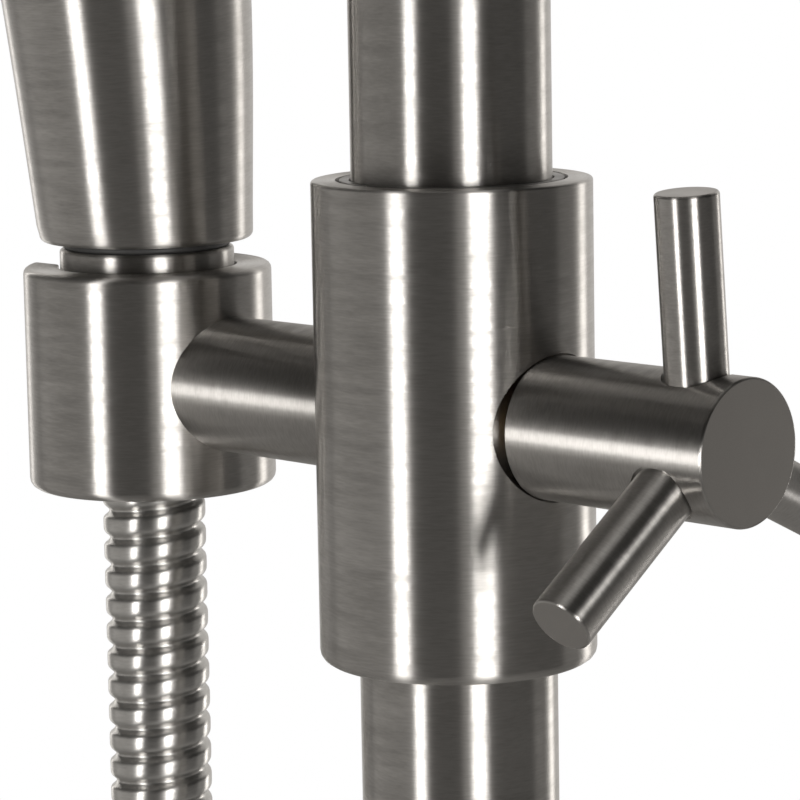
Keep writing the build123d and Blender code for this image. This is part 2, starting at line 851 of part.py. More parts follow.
def make_clamp_levers():
    directions = lever_directions(OUT, UP, clamp_lever_turn)
    return make_levers(clamp_lever_centre(), directions, clamp_lever_radius, clamp_lever_reach)


def cradle_point(height):
    """A point on the cradle's axis, at a height from the slider's centre."""
    return (-cradle_reach, rail_y, slider_z + height)


def make_holder_bar():
    """Bar from the sleeve's seat to the cradle, shaped to the cradle's round wall."""
    half = cradle_height / 2
    start = bar_seat + running
    bar = rod(bar_radius, clamp_axis(-start), LEFT, cradle_reach - start)
    bar -= rod(cradle_radius, cradle_point(-half), UP, cradle_height)
    spigot_start = start + pivot_screw_length + bar_spigot_gap
    spigot = rod(bar_spigot_radius, clamp_axis(-spigot_start), LEFT, cradle_reach - spigot_start)
    spigot -= rod(cradle_bore, cradle_point(-half), UP, cradle_height)
    return bar + spigot - rod(pivot_screw_radius, clamp_axis(0), LEFT, start + pivot_screw_length)


def make_bar_pivot_screw():
    head_face = bar_seat - pivot_web
    head = rod(pivot_head_radius, clamp_axis(pivot_head_height - head_face), LEFT, pivot_head_height)
    shank = rod(pivot_screw_radius, clamp_axis(-head_face), LEFT, pivot_web + running + pivot_screw_length)
    return head + shank


def slot_cutter():
    """The hose's way in and out of the cradle, on the side away from the bar."""
    depth = 2 * cradle_radius
    box = Box(depth, slot_width, 2 * cradle_height, align=(Align.MAX, Align.CENTER, Align.CENTER))
    return Pos(*cradle_point(0)) * box


def make_holder_cradle():
    half = cradle_height / 2
    cradle = rod(cradle_radius, cradle_point(-half), UP, cradle_height)
    cradle = fillet(cradle.edges().group_by(Axis.Z)[0], cradle_edge)
    cradle = chamfer(cradle.edges().group_by(Axis.Z)[-1], cradle_top_edge)
    cradle -= rod(cradle_bore, cradle_point(-half), UP, cradle_height)
    cradle -= slot_cutter()
    return cradle - rod(bar_spigot_radius, clamp_axis(0), LEFT, cradle_reach)


def cone_radius(height):
    """The cone nut's outside at a height from the slider's centre."""
    slope = (nut_neck_radius - nut_foot_radius) / (nut_neck - nut_foot)
    return nut_foot_radius + slope * (height - nut_foot)


def make_cradle_liner():
    foot = -cradle_height / 2
    top = nut_neck - face_gap
    profile = [
        (cone_radius(foot) + running, foot),
        (cradle_bore, foot),
        (cradle_bore, top),
        (cone_radius(top) + running, top),
    ]
    return turned(profile, cradle_point(0), UP) - slot_cutter()


def make_cone_nut():
    profile = [
        (ferrule_radius, nut_foot),
        (nut_foot_radius, nut_foot),
        (nut_neck_radius, nut_neck),
        (nut_collar_radius, nut_neck + nut_collar_edge),
        (nut_collar_radius, nut_top - nut_collar_edge),
        (nut_collar_radius - nut_collar_edge, nut_top),
        (nut_socket_radius, nut_top),
        (nut_socket_radius, nut_shoulder),
        (ferrule_radius, nut_shoulder),
    ]
    return turned(profile, cradle_point(0), UP)


def make_hose_top_ferrule():
    return make_ferrule(cradle_point(nut_shoulder + ferrule_flange), DOWN, nut_socket_radius)


def hose_start():
    return cradle_point(nut_shoulder + ferrule_flange - ferrule_length)


def make_swivel_seal():
    return tube(seal_radius, nut_socket_radius, cradle_point(nut_top), UP, seal_height)


def handle_foot():
    return nut_top + seal_height + running


def handle_sections(inset):
    """Circles up the handle, each square to its middle line."""
    foot = cradle_point(handle_foot())
    stations = [(0.0, 0.0, handle_foot_radius)] + handle_stations
    sections = []
    for index, (height, forward, radius) in enumerate(stations):
        below = stations[max(index - 1, 0)]
        above = stations[min(index + 1, len(stations) - 1)]
        lean = (0, below[1] - above[1], above[0] - below[0]) if index else UP
        centre = shifted(shifted(foot, UP, height), OUT, forward)
        sections.append(Plane(origin=centre, z_dir=lean, x_dir=RIGHT) * Circle(radius - inset))
    return sections


def head_plane():
    """The disc's middle, with Z pointing to its back."""
    lean = math.radians(head_lean)
    height, forward, _ = handle_stations[-1]
    along = head_radius - head_overlap
    centre = shifted(cradle_point(handle_foot() + height), OUT, forward)
    centre = shifted(centre, (0, -math.sin(lean), math.cos(lean)), along)
    return Plane(origin=centre, z_dir=(0, math.cos(lean), math.sin(lean)), x_dir=RIGHT)


def head_profile(inset):
    """Outline of the disc's back and rim, from the centre outwards."""
    dome = [(min(radius, head_radius - inset), height - inset) for radius, height in head_back_stations]
    return [*dome, (head_radius - inset, -head_rim)]


def head_solid():
    profile = [(0, head_back), *head_profile(0), (0, -head_rim)]
    plane = head_plane()
    return turned(profile, plane.origin, plane.z_dir)


def make_handset_head():
    inner = [(0, -head_rim), *reversed(head_profile(head_wall)), (0, head_back - head_wall)]
    plane = head_plane()
    head = head_solid() - turned(inner, plane.origin, plane.z_dir)
    return head - handle_passage()


def handle_passage():
    """Water way from the handle's inside into the disc."""
    height, forward, _ = handle_stations[-1]
    lean = math.radians(head_lean)
    start = shifted(cradle_point(handle_foot() + height), OUT, forward)
    start = shifted(start, (0, -math.sin(lean), math.cos(lean)), -head_overlap)
    return rod(tail_bore, start, (0, -math.sin(lean), math.cos(lean)), 3 * head_overlap)


def make_handset_handle():
    """Hollow handle with the tail that turns in the cone nut."""
    shell = loft(handle_sections(0)) - head_solid()
    tail_foot = nut_shoulder + ferrule_flange + running
    tail_length = handle_foot() + tail_into_handle - tail_foot
    tail = rod(nut_socket_radius - running, cradle_point(tail_foot), UP, tail_length)
    inside = loft(handle_sections(handle_wall))
    inside -= rod(handle_foot_radius, cradle_point(0), UP, handle_foot() + handle_wall)
    handle = shell - inside + tail
    return handle - rod(tail_bore, cradle_point(tail_foot), UP, 2 * handle_foot())


def make_handset_face():
    plane = head_plane()
    centre = plane.origin - plane.z_dir * head_rim
    return make_face_disc(centre, plane.z_dir, head_radius - head_wall, head_face_thick, head_nub_radius,
                          head_rings, head_ring_pitch)


def make_handset_nozzles():
    plane = head_plane()
    centre = plane.origin - plane.z_dir * head_rim
    return make_nozzles(centre, plane.z_dir, head_mat_radius, head_mat_thick, head_face_thick,
                        head_nub_radius, head_nub_proud, head_rings, head_ring_pitch)


def route_radii(points):
    """Each corner's arc: a set share of its shorter run."""
    radii = []
    for before, corner, after in zip(points, points[1:], points[2:]):
        run_in = Vector(corner) - Vector(before)
        run_out = Vector(after) - Vector(corner)
        half_turn = math.radians(run_in.get_angle(run_out)) / 2
        shorter = min(run_in.length, run_out.length)
        radii.append(run_share * shorter / math.tan(half_turn))
    return radii


def make_shower_hose():
    """Ribbed hose: each rib is four circles, all turned to a steady axis."""
    points = [hose_start(), *hose_middle_route, hose_end()]
    radii = route_radii(points)
    path = FilletPolyline(*points, radius=radii)
    length = path.length
    steady = Vector(hose_steady_axis)
    plain_end = 2 * hose_radius
    pitch = (length - 2 * plain_end) / hose_ribs
    stations = [(0.0, hose_root_radius)]
    for rib in range(hose_ribs):
        start = plain_end + rib * pitch
        stations += [(start + share * pitch, radius) for share, radius in rib_stations]
    stations.append((length, hose_root_radius))
    circles = []
    for distance, radius in stations:
        place = path.position_at(distance / length)
        heading = path.tangent_at(distance / length)
        across = steady - heading * heading.dot(steady)
        circles.append(Plane(origin=place, x_dir=across, z_dir=heading) * Circle(radius))
    outside = loft(circles, ruled=True)
    bore_section = Plane(origin=points[0], z_dir=DOWN) * Circle(hose_bore)
    hose = outside - sweep(bore_section, path=path)
    print("hose radii:", [round(radius) for radius in radii])
    print("hose length:", round(length), "volume share:", round(hose.volume / (math.pi * length), 1))
    return hose


def save(name, shape):
    export_step(shape, f"parts/{name}.step")


def save_handle(name, seat, direction, across):
    hub, levers, grub = handle_parts(seat, direction, across)
    save(f"{name}_stem", make_stem(seat, direction))
    save(f"{name}_hub", hub)
    save(f"{name}_levers", levers)
    save(f"{name}_grub_screw", grub)


def main():
    os.makedirs("parts", exist_ok=True)
    hot, cold, diverter = cartridge_seats()
    save("riser_rail", make_rail())
    save("riser_nut", make_riser_nut())
    save("o_rings", make_o_rings())
    save("valve_body", make_valve_body())
    save("hot_union", make_union(supply_places()[0]))
    save("cold_union", make_union(supply_places()[1]))
    save("union_nuts", make_union_nuts())
    save("inlet_filters", make_inlet_filters())
    save("wall_escutcheons", make_escutcheons())
    save("hot_cartridge", make_cartridge(*hot))
    save("cold_cartridge", make_cartridge(*cold))
    save("diverter_cartridge", make_cartridge(*diverter))
    save("bonnet_nuts", make_bonnet_nuts())
    save("hose_outlet", make_hose_outlet())
    save("hose_washer", make_hose_washer())
    save("hose_end_nut", make_hose_end_nut())
    save("hose_end_ferrule", make_hose_end_ferrule())
    save("bracket_flange", make_bracket_flange())
    save("bracket_arm", make_bracket_arm())
    save("bracket_grub_screw", make_bracket_grub_screw())
    save("wall_screws", make_wall_screws())
    save("arm_socket", make_arm_socket())
    save_handle("hot", *hot, OUT)
    save_handle("cold", *cold, OUT)
    save_handle("diverter", *diverter, RIGHT)
    save("slider_bushes", make_slider_bushes())
    save("slider_sleeve", make_slider_sleeve())
    save("clamp_nut", make_clamp_nut())
    save("brake_pad", make_brake_pad())
    save("clamp_spindle", make_clamp_spindle())
    save("clamp_hub", make_clamp_hub())
    save("clamp_levers", make_clamp_levers())
    save("holder_bar", make_holder_bar())
    save("holder_cradle", make_holder_cradle())
    save("cradle_liner", make_cradle_liner())
    save("bar_pivot_screw", make_bar_pivot_screw())
    save("cone_nut", make_cone_nut())
    save("hose_top_ferrule", make_hose_top_ferrule())
    save("swivel_seal", make_swivel_seal())
    save("handset_handle", make_handset_handle())
    save("handset_head", make_handset_head())
    save("handset_face", make_handset_face())
    save("handset_nozzles", make_handset_nozzles())
    save("overhead_arm", make_overhead_arm())
    save("ball_stud", make_ball_stud())
    save("ball_seat", make_ball_seat())
    save("rose_nut", make_rose_nut())
    save("rose_body", make_rose_body())
    save("rose_face", make_rose_face())
    save("rose_nozzles", make_rose_nozzles())
    save("shower_hose", make_shower_hose())


main()
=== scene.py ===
import bpy
import bmesh
import json
import math
import numpy as np
from mathutils import Matrix, Vector


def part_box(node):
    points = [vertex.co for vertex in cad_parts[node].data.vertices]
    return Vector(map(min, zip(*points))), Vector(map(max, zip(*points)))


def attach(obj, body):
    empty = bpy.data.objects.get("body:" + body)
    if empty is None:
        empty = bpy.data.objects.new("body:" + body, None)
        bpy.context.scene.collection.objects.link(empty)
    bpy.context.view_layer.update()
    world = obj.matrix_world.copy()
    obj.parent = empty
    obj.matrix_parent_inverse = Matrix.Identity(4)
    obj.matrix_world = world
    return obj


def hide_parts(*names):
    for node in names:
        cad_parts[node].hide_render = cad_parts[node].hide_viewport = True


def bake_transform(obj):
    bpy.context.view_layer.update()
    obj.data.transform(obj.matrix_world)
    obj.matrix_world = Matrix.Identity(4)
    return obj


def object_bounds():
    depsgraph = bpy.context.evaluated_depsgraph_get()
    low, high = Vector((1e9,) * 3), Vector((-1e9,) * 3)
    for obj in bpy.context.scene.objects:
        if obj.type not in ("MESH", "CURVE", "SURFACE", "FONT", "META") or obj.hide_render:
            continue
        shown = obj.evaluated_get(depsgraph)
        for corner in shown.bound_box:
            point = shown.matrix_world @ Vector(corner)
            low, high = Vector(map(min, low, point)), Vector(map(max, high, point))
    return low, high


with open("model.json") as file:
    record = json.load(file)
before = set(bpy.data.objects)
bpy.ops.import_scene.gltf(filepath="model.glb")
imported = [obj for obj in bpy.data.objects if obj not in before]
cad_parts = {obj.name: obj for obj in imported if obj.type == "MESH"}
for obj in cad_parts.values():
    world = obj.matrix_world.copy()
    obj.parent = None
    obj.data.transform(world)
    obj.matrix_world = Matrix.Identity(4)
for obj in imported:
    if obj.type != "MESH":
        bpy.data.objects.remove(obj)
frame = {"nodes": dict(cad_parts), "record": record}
cadLow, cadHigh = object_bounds()

up = Vector((0, 0, 1))
down = -up
right = Vector((1, 0, 0))
left = -right
toBather = Vector((0, -1, 0))
toWall = -toBather


# Places read from the frame

def middle(node):
    low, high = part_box(node)
    return (low + high) / 2


def size(node):
    low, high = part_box(node)
    return high - low


railAxis = middle("riser_rail")
sliderCentre = Vector((railAxis.x, railAxis.y, middle("clamp_hub").z))
cradleAxis = middle("cone_nut")
valveCentre = Vector((railAxis.x, railAxis.y, middle("hot_stem").z))


def onRail(z):
    return Vector((railAxis.x, railAxis.y, z))


def onCradle(z):
    return Vector((cradleAxis.x, cradleAxis.y, z))


def upright(node):
    low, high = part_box(node)
    return onRail(low.z), size(node).x / 2, high.z - low.z


# Camera, at the photograph's angle

camera = {
    "yaw": 44.59,          # degrees round from straight on
    "pitch": 8.82,
    "roll": -1.02,
    "distance": 0.4395,
    "aside": -0.00686,
    "lift": 0.00187,
    "lens": 158.2,
    "sensor": 36.0,
}


def viewAxes(view):
    yaw, pitch = math.radians(view["yaw"]), math.radians(view["pitch"])
    level = math.cos(pitch)
    ahead = Vector((-math.sin(yaw) * level, math.cos(yaw) * level, -math.sin(pitch)))
    side = Vector((math.cos(yaw), math.sin(yaw), 0))
    return ahead, side, side.cross(ahead)


def addCamera(view):
    ahead, side, top = viewAxes(view)
    roll = math.radians(view["roll"])
    place = sliderCentre + side * view["aside"] + top * view["lift"] - ahead * view["distance"]
    rolledSide = side * math.cos(roll) + top * math.sin(roll)
    rolledTop = top * math.cos(roll) - side * math.sin(roll)
    data = bpy.data.cameras.new("camera")
    data.lens, data.sensor_width = view["lens"], view["sensor"]
    data.clip_start, data.clip_end = 0.01, 60
    obj = bpy.data.objects.new("camera", data)
    bpy.context.scene.collection.objects.link(obj)
    turn = Matrix((rolledSide, rolledTop, -ahead)).transposed().to_4x4()
    obj.matrix_world = Matrix.Translation(place) @ turn
    bpy.context.scene.camera = obj


addCamera(camera)
print("camera placed")


# Materials. A turned piece's UV map holds metres along its outline in U, and turns round its axis in V.

def feed(tree, node, inputs):
    for key, value in inputs.items():
        if isinstance(value, bpy.types.NodeSocket):
            tree.links.new(value, node.inputs[key])
        else:
            node.inputs[key].default_value = value
    return node


def addNode(tree, kind, inputs, **settings):
    node = tree.nodes.new(kind)
    for setting, value in settings.items():
        setattr(node, setting, value)
    return feed(tree, node, inputs)


def addMath(tree, operation, *values):
    return addNode(tree, "ShaderNodeMath", dict(enumerate(values)), operation=operation).outputs[0]


def turnedCoordinates(tree, around, along):
    uv = addNode(tree, "ShaderNodeUVMap", {}, uv_map="UVMap")
    split = addNode(tree, "ShaderNodeSeparateXYZ", {0: uv.outputs["UV"]})
    angle = addMath(tree, "MULTIPLY", split.outputs["Y"], 2 * math.pi)
    wrapped = addNode(tree, "ShaderNodeCombineXYZ", {
        "X": addMath(tree, "COSINE", angle), "Y": addMath(tree, "SINE", angle), "Z": split.outputs["X"],
    })
    factors = {0: wrapped.outputs[0], 1: (around, around, along)}
    return addNode(tree, "ShaderNodeVectorMath", factors, operation="MULTIPLY").outputs[0]


def addNoise(tree, vector, detail, roughness=0.5, scale=1.0):
    return addNode(tree, "ShaderNodeTexNoise", {
        "Vector": vector, "Detail": detail, "Roughness": roughness, "Scale": scale,
    }).outputs["Fac"]


def addRange(tree, value, fromLow, fromHigh, toLow=0, toHigh=1):
    return addNode(tree, "ShaderNodeMapRange", {
        "Value": value, "From Min": fromLow, "From Max": fromHigh, "To Min": toLow, "To Max": toHigh,
    }).outputs["Result"]


noise = {                  # where most of a noise's values lie, and how far each look's roughness strays
    "low": 0.3,
    "high": 0.7,
    "scratchLow": 0.35,
    "scratchHigh": 0.65,
    "bandScale": 0.22,
    "turnedSpread": 0.04,
    "plainSpread": 0.06,
}


def newLook(name):
    material = bpy.data.materials.new(name)
    material.use_nodes = True
    return material, material.node_tree


def objectPlace(tree):
    return addNode(tree, "ShaderNodeTexCoord", {}).outputs["Object"]


def coat(tree, finish, roughness, spread, colour, height, extras):
    rough = finish["rough"]
    feed(tree, tree.nodes["Principled BSDF"], {
        "Roughness": addRange(tree, roughness, noise["low"], noise["high"], rough - spread, rough + spread),
        "Base Color": addNode(tree, "ShaderNodeMix", {
            "Factor": colour, "A": (*finish["deep"], 1), "B": (*finish["pale"], 1),
        }, data_type="RGBA").outputs["Result"],
        "Normal": addNode(tree, "ShaderNodeBump", {
            "Height": height, "Strength": finish["bump"], "Distance": finish["depth"],
        }).outputs["Normal"],
        **extras,
    })


def turnedSteel(name, finish):
    material, tree = newLook(name)
    fine = turnedCoordinates(tree, finish["streak"], finish["lines"])
    scratches = addNoise(tree, fine, 3, 0.6)
    bands = addNoise(tree, fine, 2, scale=noise["bandScale"])
    clouds = addNoise(tree, objectPlace(tree), 3, scale=finish["clouds"])
    worn = addMath(tree, "MULTIPLY_ADD", clouds, finish["cloudShare"], scratches)
    shift = finish["cloudShare"] / 2
    colour = addRange(tree, worn, noise["scratchLow"] + shift, noise["scratchHigh"] + shift)
    tangent = addNode(tree, "ShaderNodeTangent", {}, direction_type="UV_MAP", uv_map="UVMap")
    coat(tree, finish, bands, noise["turnedSpread"], colour, scratches, {
        "Metallic": 1.0, "Anisotropic": finish["stretch"], "Tangent": tangent.outputs[0],
    })
    return material


def plainLook(name, finish):
    material, tree = newLook(name)
    place = objectPlace(tree)
    grain = addNoise(tree, place, 4, 0.6, finish["grain"])
    clouds = addNoise(tree, place, 2, scale=finish["clouds"])
    coat(tree, finish, clouds, noise["plainSpread"], grain, grain, {"Metallic": finish.get("metal", 0.0)})
    return material


brushed = {
    "deep": (0.445, 0.43, 0.41), "pale": (0.52, 0.504, 0.483), "rough": 0.35, "lines": 4000.0,
    "cloudShare": 0.6, "bump": 0.26, "depth": 0.00004,
}
steel = turnedSteel("brushedSteel", {**brushed, "stretch": 1.0, "streak": 7.0, "clouds": 60.0})
slimSteel = turnedSteel("brushedSteelSlim", {**brushed, "stretch": 0.97, "streak": 4.0, "clouds": 90.0})
faceSteel = plainLook("facedSteel", {
    "deep": (0.36, 0.345, 0.325), "pale": (0.44, 0.42, 0.40), "metal": 1.0, "rough": 0.36,
    "grain": 5200.0, "clouds": 160.0, "bump": 0.25, "depth": 0.00003,
})
hoseSteel = turnedSteel("hoseSteel", {
    "deep": (0.52, 0.51, 0.49), "pale": (0.6, 0.59, 0.57), "rough": 0.35, "stretch": 0.85, "streak": 4.0,
    "lines": 2600.0, "clouds": 80.0, "cloudShare": 0.6, "bump": 0.12, "depth": 0.00003,
})
bushMetal = plainLook("bushMetal", {
    "deep": (0.2, 0.195, 0.19), "pale": (0.27, 0.262, 0.255), "metal": 1.0, "rough": 0.36,
    "grain": 2600.0, "clouds": 220.0, "bump": 0.2, "depth": 0.00003,
})
blackRubber = plainLook("blackRubber", {
    "deep": (0.012, 0.012, 0.012), "pale": (0.03, 0.03, 0.029), "rough": 0.55,
    "grain": 3200.0, "clouds": 300.0, "bump": 0.3, "depth": 0.00004,
})
linerBlack = plainLook("linerBlack", {
    "deep": (0.03, 0.03, 0.03), "pale": (0.055, 0.055, 0.053), "rough": 0.5,
    "grain": 2400.0, "clouds": 260.0, "bump": 0.2, "depth": 0.00003,
})
nozzleGrey = plainLook("nozzleGrey", {
    "deep": (0.19, 0.195, 0.2), "pale": (0.26, 0.265, 0.27), "rough": 0.5,
    "grain": 2400.0, "clouds": 240.0, "bump": 0.2, "depth": 0.00003,
})
turnedBrass = plainLook("turnedBrass", {
    "deep": (0.6, 0.42, 0.2), "pale": (0.72, 0.53, 0.28), "metal": 1.0, "rough": 0.33,
    "grain": 3000.0, "clouds": 240.0, "bump": 0.2, "depth": 0.00003,
})
ceramicWhite = plainLook("ceramicWhite", {
    "deep": (0.68, 0.67, 0.64), "pale": (0.78, 0.77, 0.74), "rough": 0.4,
    "grain": 1800.0, "clouds": 200.0, "bump": 0.1, "depth": 0.00002,
})
screwSteel = plainLook("screwSteel", {
    "deep": (0.4, 0.39, 0.375), "pale": (0.5, 0.485, 0.465), "metal": 1.0, "rough": 0.3,
    "grain": 3600.0, "clouds": 300.0, "bump": 0.2, "depth": 0.00002,
})
print("materials made")

nodeLooks = {
    "brushed_steel": faceSteel,
    "rubber_black": blackRubber,
    "bush_plastic": bushMetal,
    "liner_plastic": linerBlack,
    "brass": turnedBrass,
    "ceramic_cartridge": ceramicWhite,
    "nozzle_rubber": nozzleGrey,
    "steel_screw": screwSteel,
}
slotOf = {part["node"]: part["material_slot"] for part in frame["record"]["subparts"]}
for node, obj in frame["nodes"].items():
    look = nodeLooks[slotOf[node]]
    if not obj.material_slots:
        obj.data.materials.append(look)
    for materialSlot in obj.material_slots:
        materialSlot.material = look


# Shapes

def softened(corners, steps=4):
    outline = []
    count = len(corners)
    for index, corner in enumerate(corners):
        point = Vector(corner[:2])
        roundness = corner[2] if len(corner) > 2 else 0
        if not roundness:
            outline.append(point)
            continue
        before = (Vector(corners[index - 1][:2]) - point).normalized()
        after = (Vector(corners[(index + 1) % count][:2]) - point).normalized()
        half = before.angle(after) / 2
        centre = point + (before + after).normalized() * (roundness / math.sin(half))
        first = point + before * (roundness / math.tan(half)) - centre
        last = point + after * (roundness / math.tan(half)) - centre
        turn = first.angle_signed(last)
        for step in range(steps + 1):
            angle = -turn * step / steps
            cos, sin = math.cos(angle), math.sin(angle)
            outline.append(centre + Vector((first.x * cos - first.y * sin, first.x * sin + first.y * cos)))
    return outline


def newPiece(name, mesh):
    obj = bpy.data.objects.new(name, mesh)
    bpy.context.scene.collection.objects.link(obj)
    return obj


def meshFrom(name, points, faces, faceUvs):
    mesh = bpy.data.meshes.new(name)
    mesh.from_pydata([tuple(p) for p in points], [], faces)
    layer = mesh.uv_layers.new(name="UVMap")
    flat = [number for face in faceUvs for pair in face for number in pair]
    layer.data.foreach_set("uv", flat)
    cleaner = bmesh.new()
    cleaner.from_mesh(mesh)
    bmesh.ops.recalc_face_normals(cleaner, faces=cleaner.faces)
    cleaner.to_mesh(mesh)
    cleaner.free()
    return mesh


def crossAxes(direction, seam):
    across = seam - direction * seam.dot(direction)
    if across.length < 1e-6:
        across = direction.orthogonal()
    across.normalize()
    return across, direction.cross(across)


def lathe(name, corners, start, direction, steps=144, seam=toWall, arcSteps=4):
    outline = softened(corners, arcSteps)
    direction = direction.normalized()
    across, other = crossAxes(direction, seam)
    turns = [2 * math.pi * step / steps for step in range(steps)]
    spokes = [across * math.cos(a) + other * math.sin(a) for a in turns]
    points, rings = [], []
    for radius, height in outline:
        hub = start + direction * height
        if radius < tolerance["pole"]:
            rings.append([len(points)] * steps)
            points.append(hub)
            continue
        rings.append(range(len(points), len(points) + steps))
        points.extend(hub + spoke * radius for spoke in spokes)
    faces, faceUvs = [], []
    travelled = 0.0
    for index in range(len(outline)):
        after = (index + 1) % len(outline)
        low, high = rings[index], rings[after]
        run = (outline[after] - outline[index]).length
        lowPole, highPole = (outline[k][0] < tolerance["pole"] for k in (index, after))
        if lowPole and highPole:
            continue
        for step in range(steps):
            following = (step + 1) % steps
            begin, finish = step / steps, (step + 1) / steps
            corner = [(low[step], travelled, begin), (low[following], travelled, finish),
                      (high[following], travelled + run, finish), (high[step], travelled + run, begin)]
            if lowPole:
                corner.pop(1)
            if highPole:
                corner.pop(2)
            faces.append([c[0] for c in corner])
            faceUvs.append([(c[1], c[2]) for c in corner])
        travelled += run
    return newPiece(name, meshFrom(name, points, faces, faceUvs))


def rod(name, radius, start, direction, length, edge=0.0, steps=96):
    outline = [(0, 0), (radius, 0, edge), (radius, length, edge), (0, length)]
    return lathe(name, outline, start, direction, steps)


past = 0.001               # how far a cutting tool starts before the face it cuts


def settle(obj):
    bpy.context.view_layer.update()
    graph = bpy.context.evaluated_depsgraph_get()
    final = obj.evaluated_get(graph)
    mesh = bpy.data.meshes.new_from_object(final, preserve_all_data_layers=True, depsgraph=graph)
    old = obj.data
    obj.modifiers.clear()
    obj.data = mesh
    mesh.name = obj.name
    bpy.data.meshes.remove(old)
    return obj


def combine(obj, tool, operation="DIFFERENCE"):
    modifier = obj.modifiers.new("cut", "BOOLEAN")
    modifier.operation = operation
    modifier.solver = "EXACT"
    modifier.object = tool
    settle(obj)
    bpy.data.objects.remove(tool)
    return obj


def joined(name, parts):
    cleaner = bmesh.new()
    for part in parts:
        cleaner.from_mesh(part.data)
    mesh = bpy.data.meshes.new(name)
    cleaner.to_mesh(mesh)
    cleaner.free()
    for part in parts:
        bpy.data.objects.remove(part)
    return newPiece(name, mesh)


tolerance = {
    "pole": 1e-7,          # metres from the axis
    "onRound": 0.02,       # share of the radius
    "squareToRound": 0.985,
    "squareToFace": 0.99,
    "leverEnd": (0.97, 0.96),
}


def evenNormals(obj, rounds=(), sharp=32.0):
    mesh = obj.data
    mesh.shade_smooth()
    mesh.set_sharp_from_angle(angle=math.radians(sharp))
    weigh = obj.modifiers.new("weigh", "WEIGHTED_NORMAL")
    weigh.keep_sharp = True
    weigh.weight = 90
    settle(obj)
    mesh = obj.data
    if not rounds:
        return obj
    normals = [corner.vector.copy() for corner in mesh.corner_normals]
    for face in mesh.polygons:
        for start, direction, radius in rounds:
            arm = face.center - start
            arm -= direction * arm.dot(direction)
            onRound = abs(arm.length - radius) <= tolerance["onRound"] * radius
            if not onRound or abs(face.normal.dot(arm.normalized())) < tolerance["squareToRound"]:
                continue
            outward = 1 if face.normal.dot(arm) > 0 else -1
            for corner in face.loop_indices:
                point = mesh.vertices[mesh.loops[corner].vertex_index].co - start
                point -= direction * point.dot(direction)
                normals[corner] = point.normalized() * outward
    mesh.normals_split_custom_set([tuple(n) for n in normals])
    return obj


def dress(obj, look, body, node, faceAxis=None):
    mesh = obj.data
    mesh.materials.clear()
    mesh.materials.append(look)
    if faceAxis is not None:
        mesh.materials.append(faceSteel)
        for face in mesh.polygons:
            face.material_index = int(abs(face.normal.dot(faceAxis)) > tolerance["squareToFace"])
    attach(obj, body)
    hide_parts(node)


def finished(obj, look, body, node, rounds=(), sharp=32.0, faceAxis=None):
    evenNormals(obj, rounds, sharp)
    dress(obj, look, body, node, faceAxis)


# The hose, on a smooth line through its route

hose = {
    "route": [
        (-0.0573, -0.06, -0.2656), (-0.0573, -0.06, -0.43), (-0.058, -0.0685, -0.6),
        (-0.061, -0.09, -0.772), (-0.065, -0.1055, -0.938), (-0.07, -0.108, -1.1),
        (-0.075, -0.107, -1.232), (-0.08, -0.106, -1.325), (-0.0367, -0.0928, -1.37),
        (0.0247, -0.0742, -1.37), (0.068, -0.061, -1.325), (0.066, -0.0603, -1.235),
        (0.06, -0.06, -1.145), (0.06, -0.06, -1.0605),
    ],
    "radius": 0.007,
    "pitch": 0.0038,
    "outline": [           # share of the pitch, depth below the crest
        (0.0, 0.00040), (0.04, 0.00020), (0.09, 0.00006), (0.16, 0.0), (0.3, 0.0), (0.44, 0.0),
        (0.55, 0.00002), (0.62, 0.00012), (0.68, 0.00030), (0.74, 0.00056), (0.80, 0.00078), (0.85, 0.00086),
        (0.90, 0.00078), (0.955, 0.00060),
    ],
    "sharp": 55,
    "slant": (0.5, 0, -0.87),
    "blendMargin": 0.004,
}


def hoseLine(route):
    data = bpy.data.curves.new("hoseLine", "CURVE")
    data.dimensions = "3D"
    spline = data.splines.new("NURBS")
    spline.points.add(len(route) - 1)
    for point, place in zip(spline.points, route):
        point.co = (*place, 1)
    spline.order_u = 3
    spline.use_endpoint_u = True
    spline.resolution_u = 48
    obj = newPiece("hoseLine", data)
    bpy.context.view_layer.update()
    graph = bpy.context.evaluated_depsgraph_get()
    mesh = bpy.data.meshes.new_from_object(obj.evaluated_get(graph), depsgraph=graph)
    line = np.array([v.co for v in mesh.vertices], float)
    bpy.data.objects.remove(obj)
    bpy.data.meshes.remove(mesh)
    return line


def lineFrames(line):
    steps = np.linalg.norm(np.diff(line, axis=0), axis=1)
    travelled = np.concatenate([[0], np.cumsum(steps)])
    heading = np.gradient(line, travelled, axis=0)
    heading /= np.linalg.norm(heading, axis=1)[:, None]
    wallward = np.array(toWall)
    side = np.zeros_like(line)
    side[0] = wallward - heading[0] * heading[0].dot(wallward)
    for index in range(1, len(line)):
        carried = side[index - 1] - heading[index] * heading[index].dot(side[index - 1])
        side[index] = carried / np.linalg.norm(carried)
    return travelled, heading, side


line = hoseLine(hose["route"])
lineTravel, lineHeading, lineSide = lineFrames(line)


def alongLine(values, distance):
    return np.stack([np.interp(distance, lineTravel, values[:, k]) for k in range(3)], axis=-1)


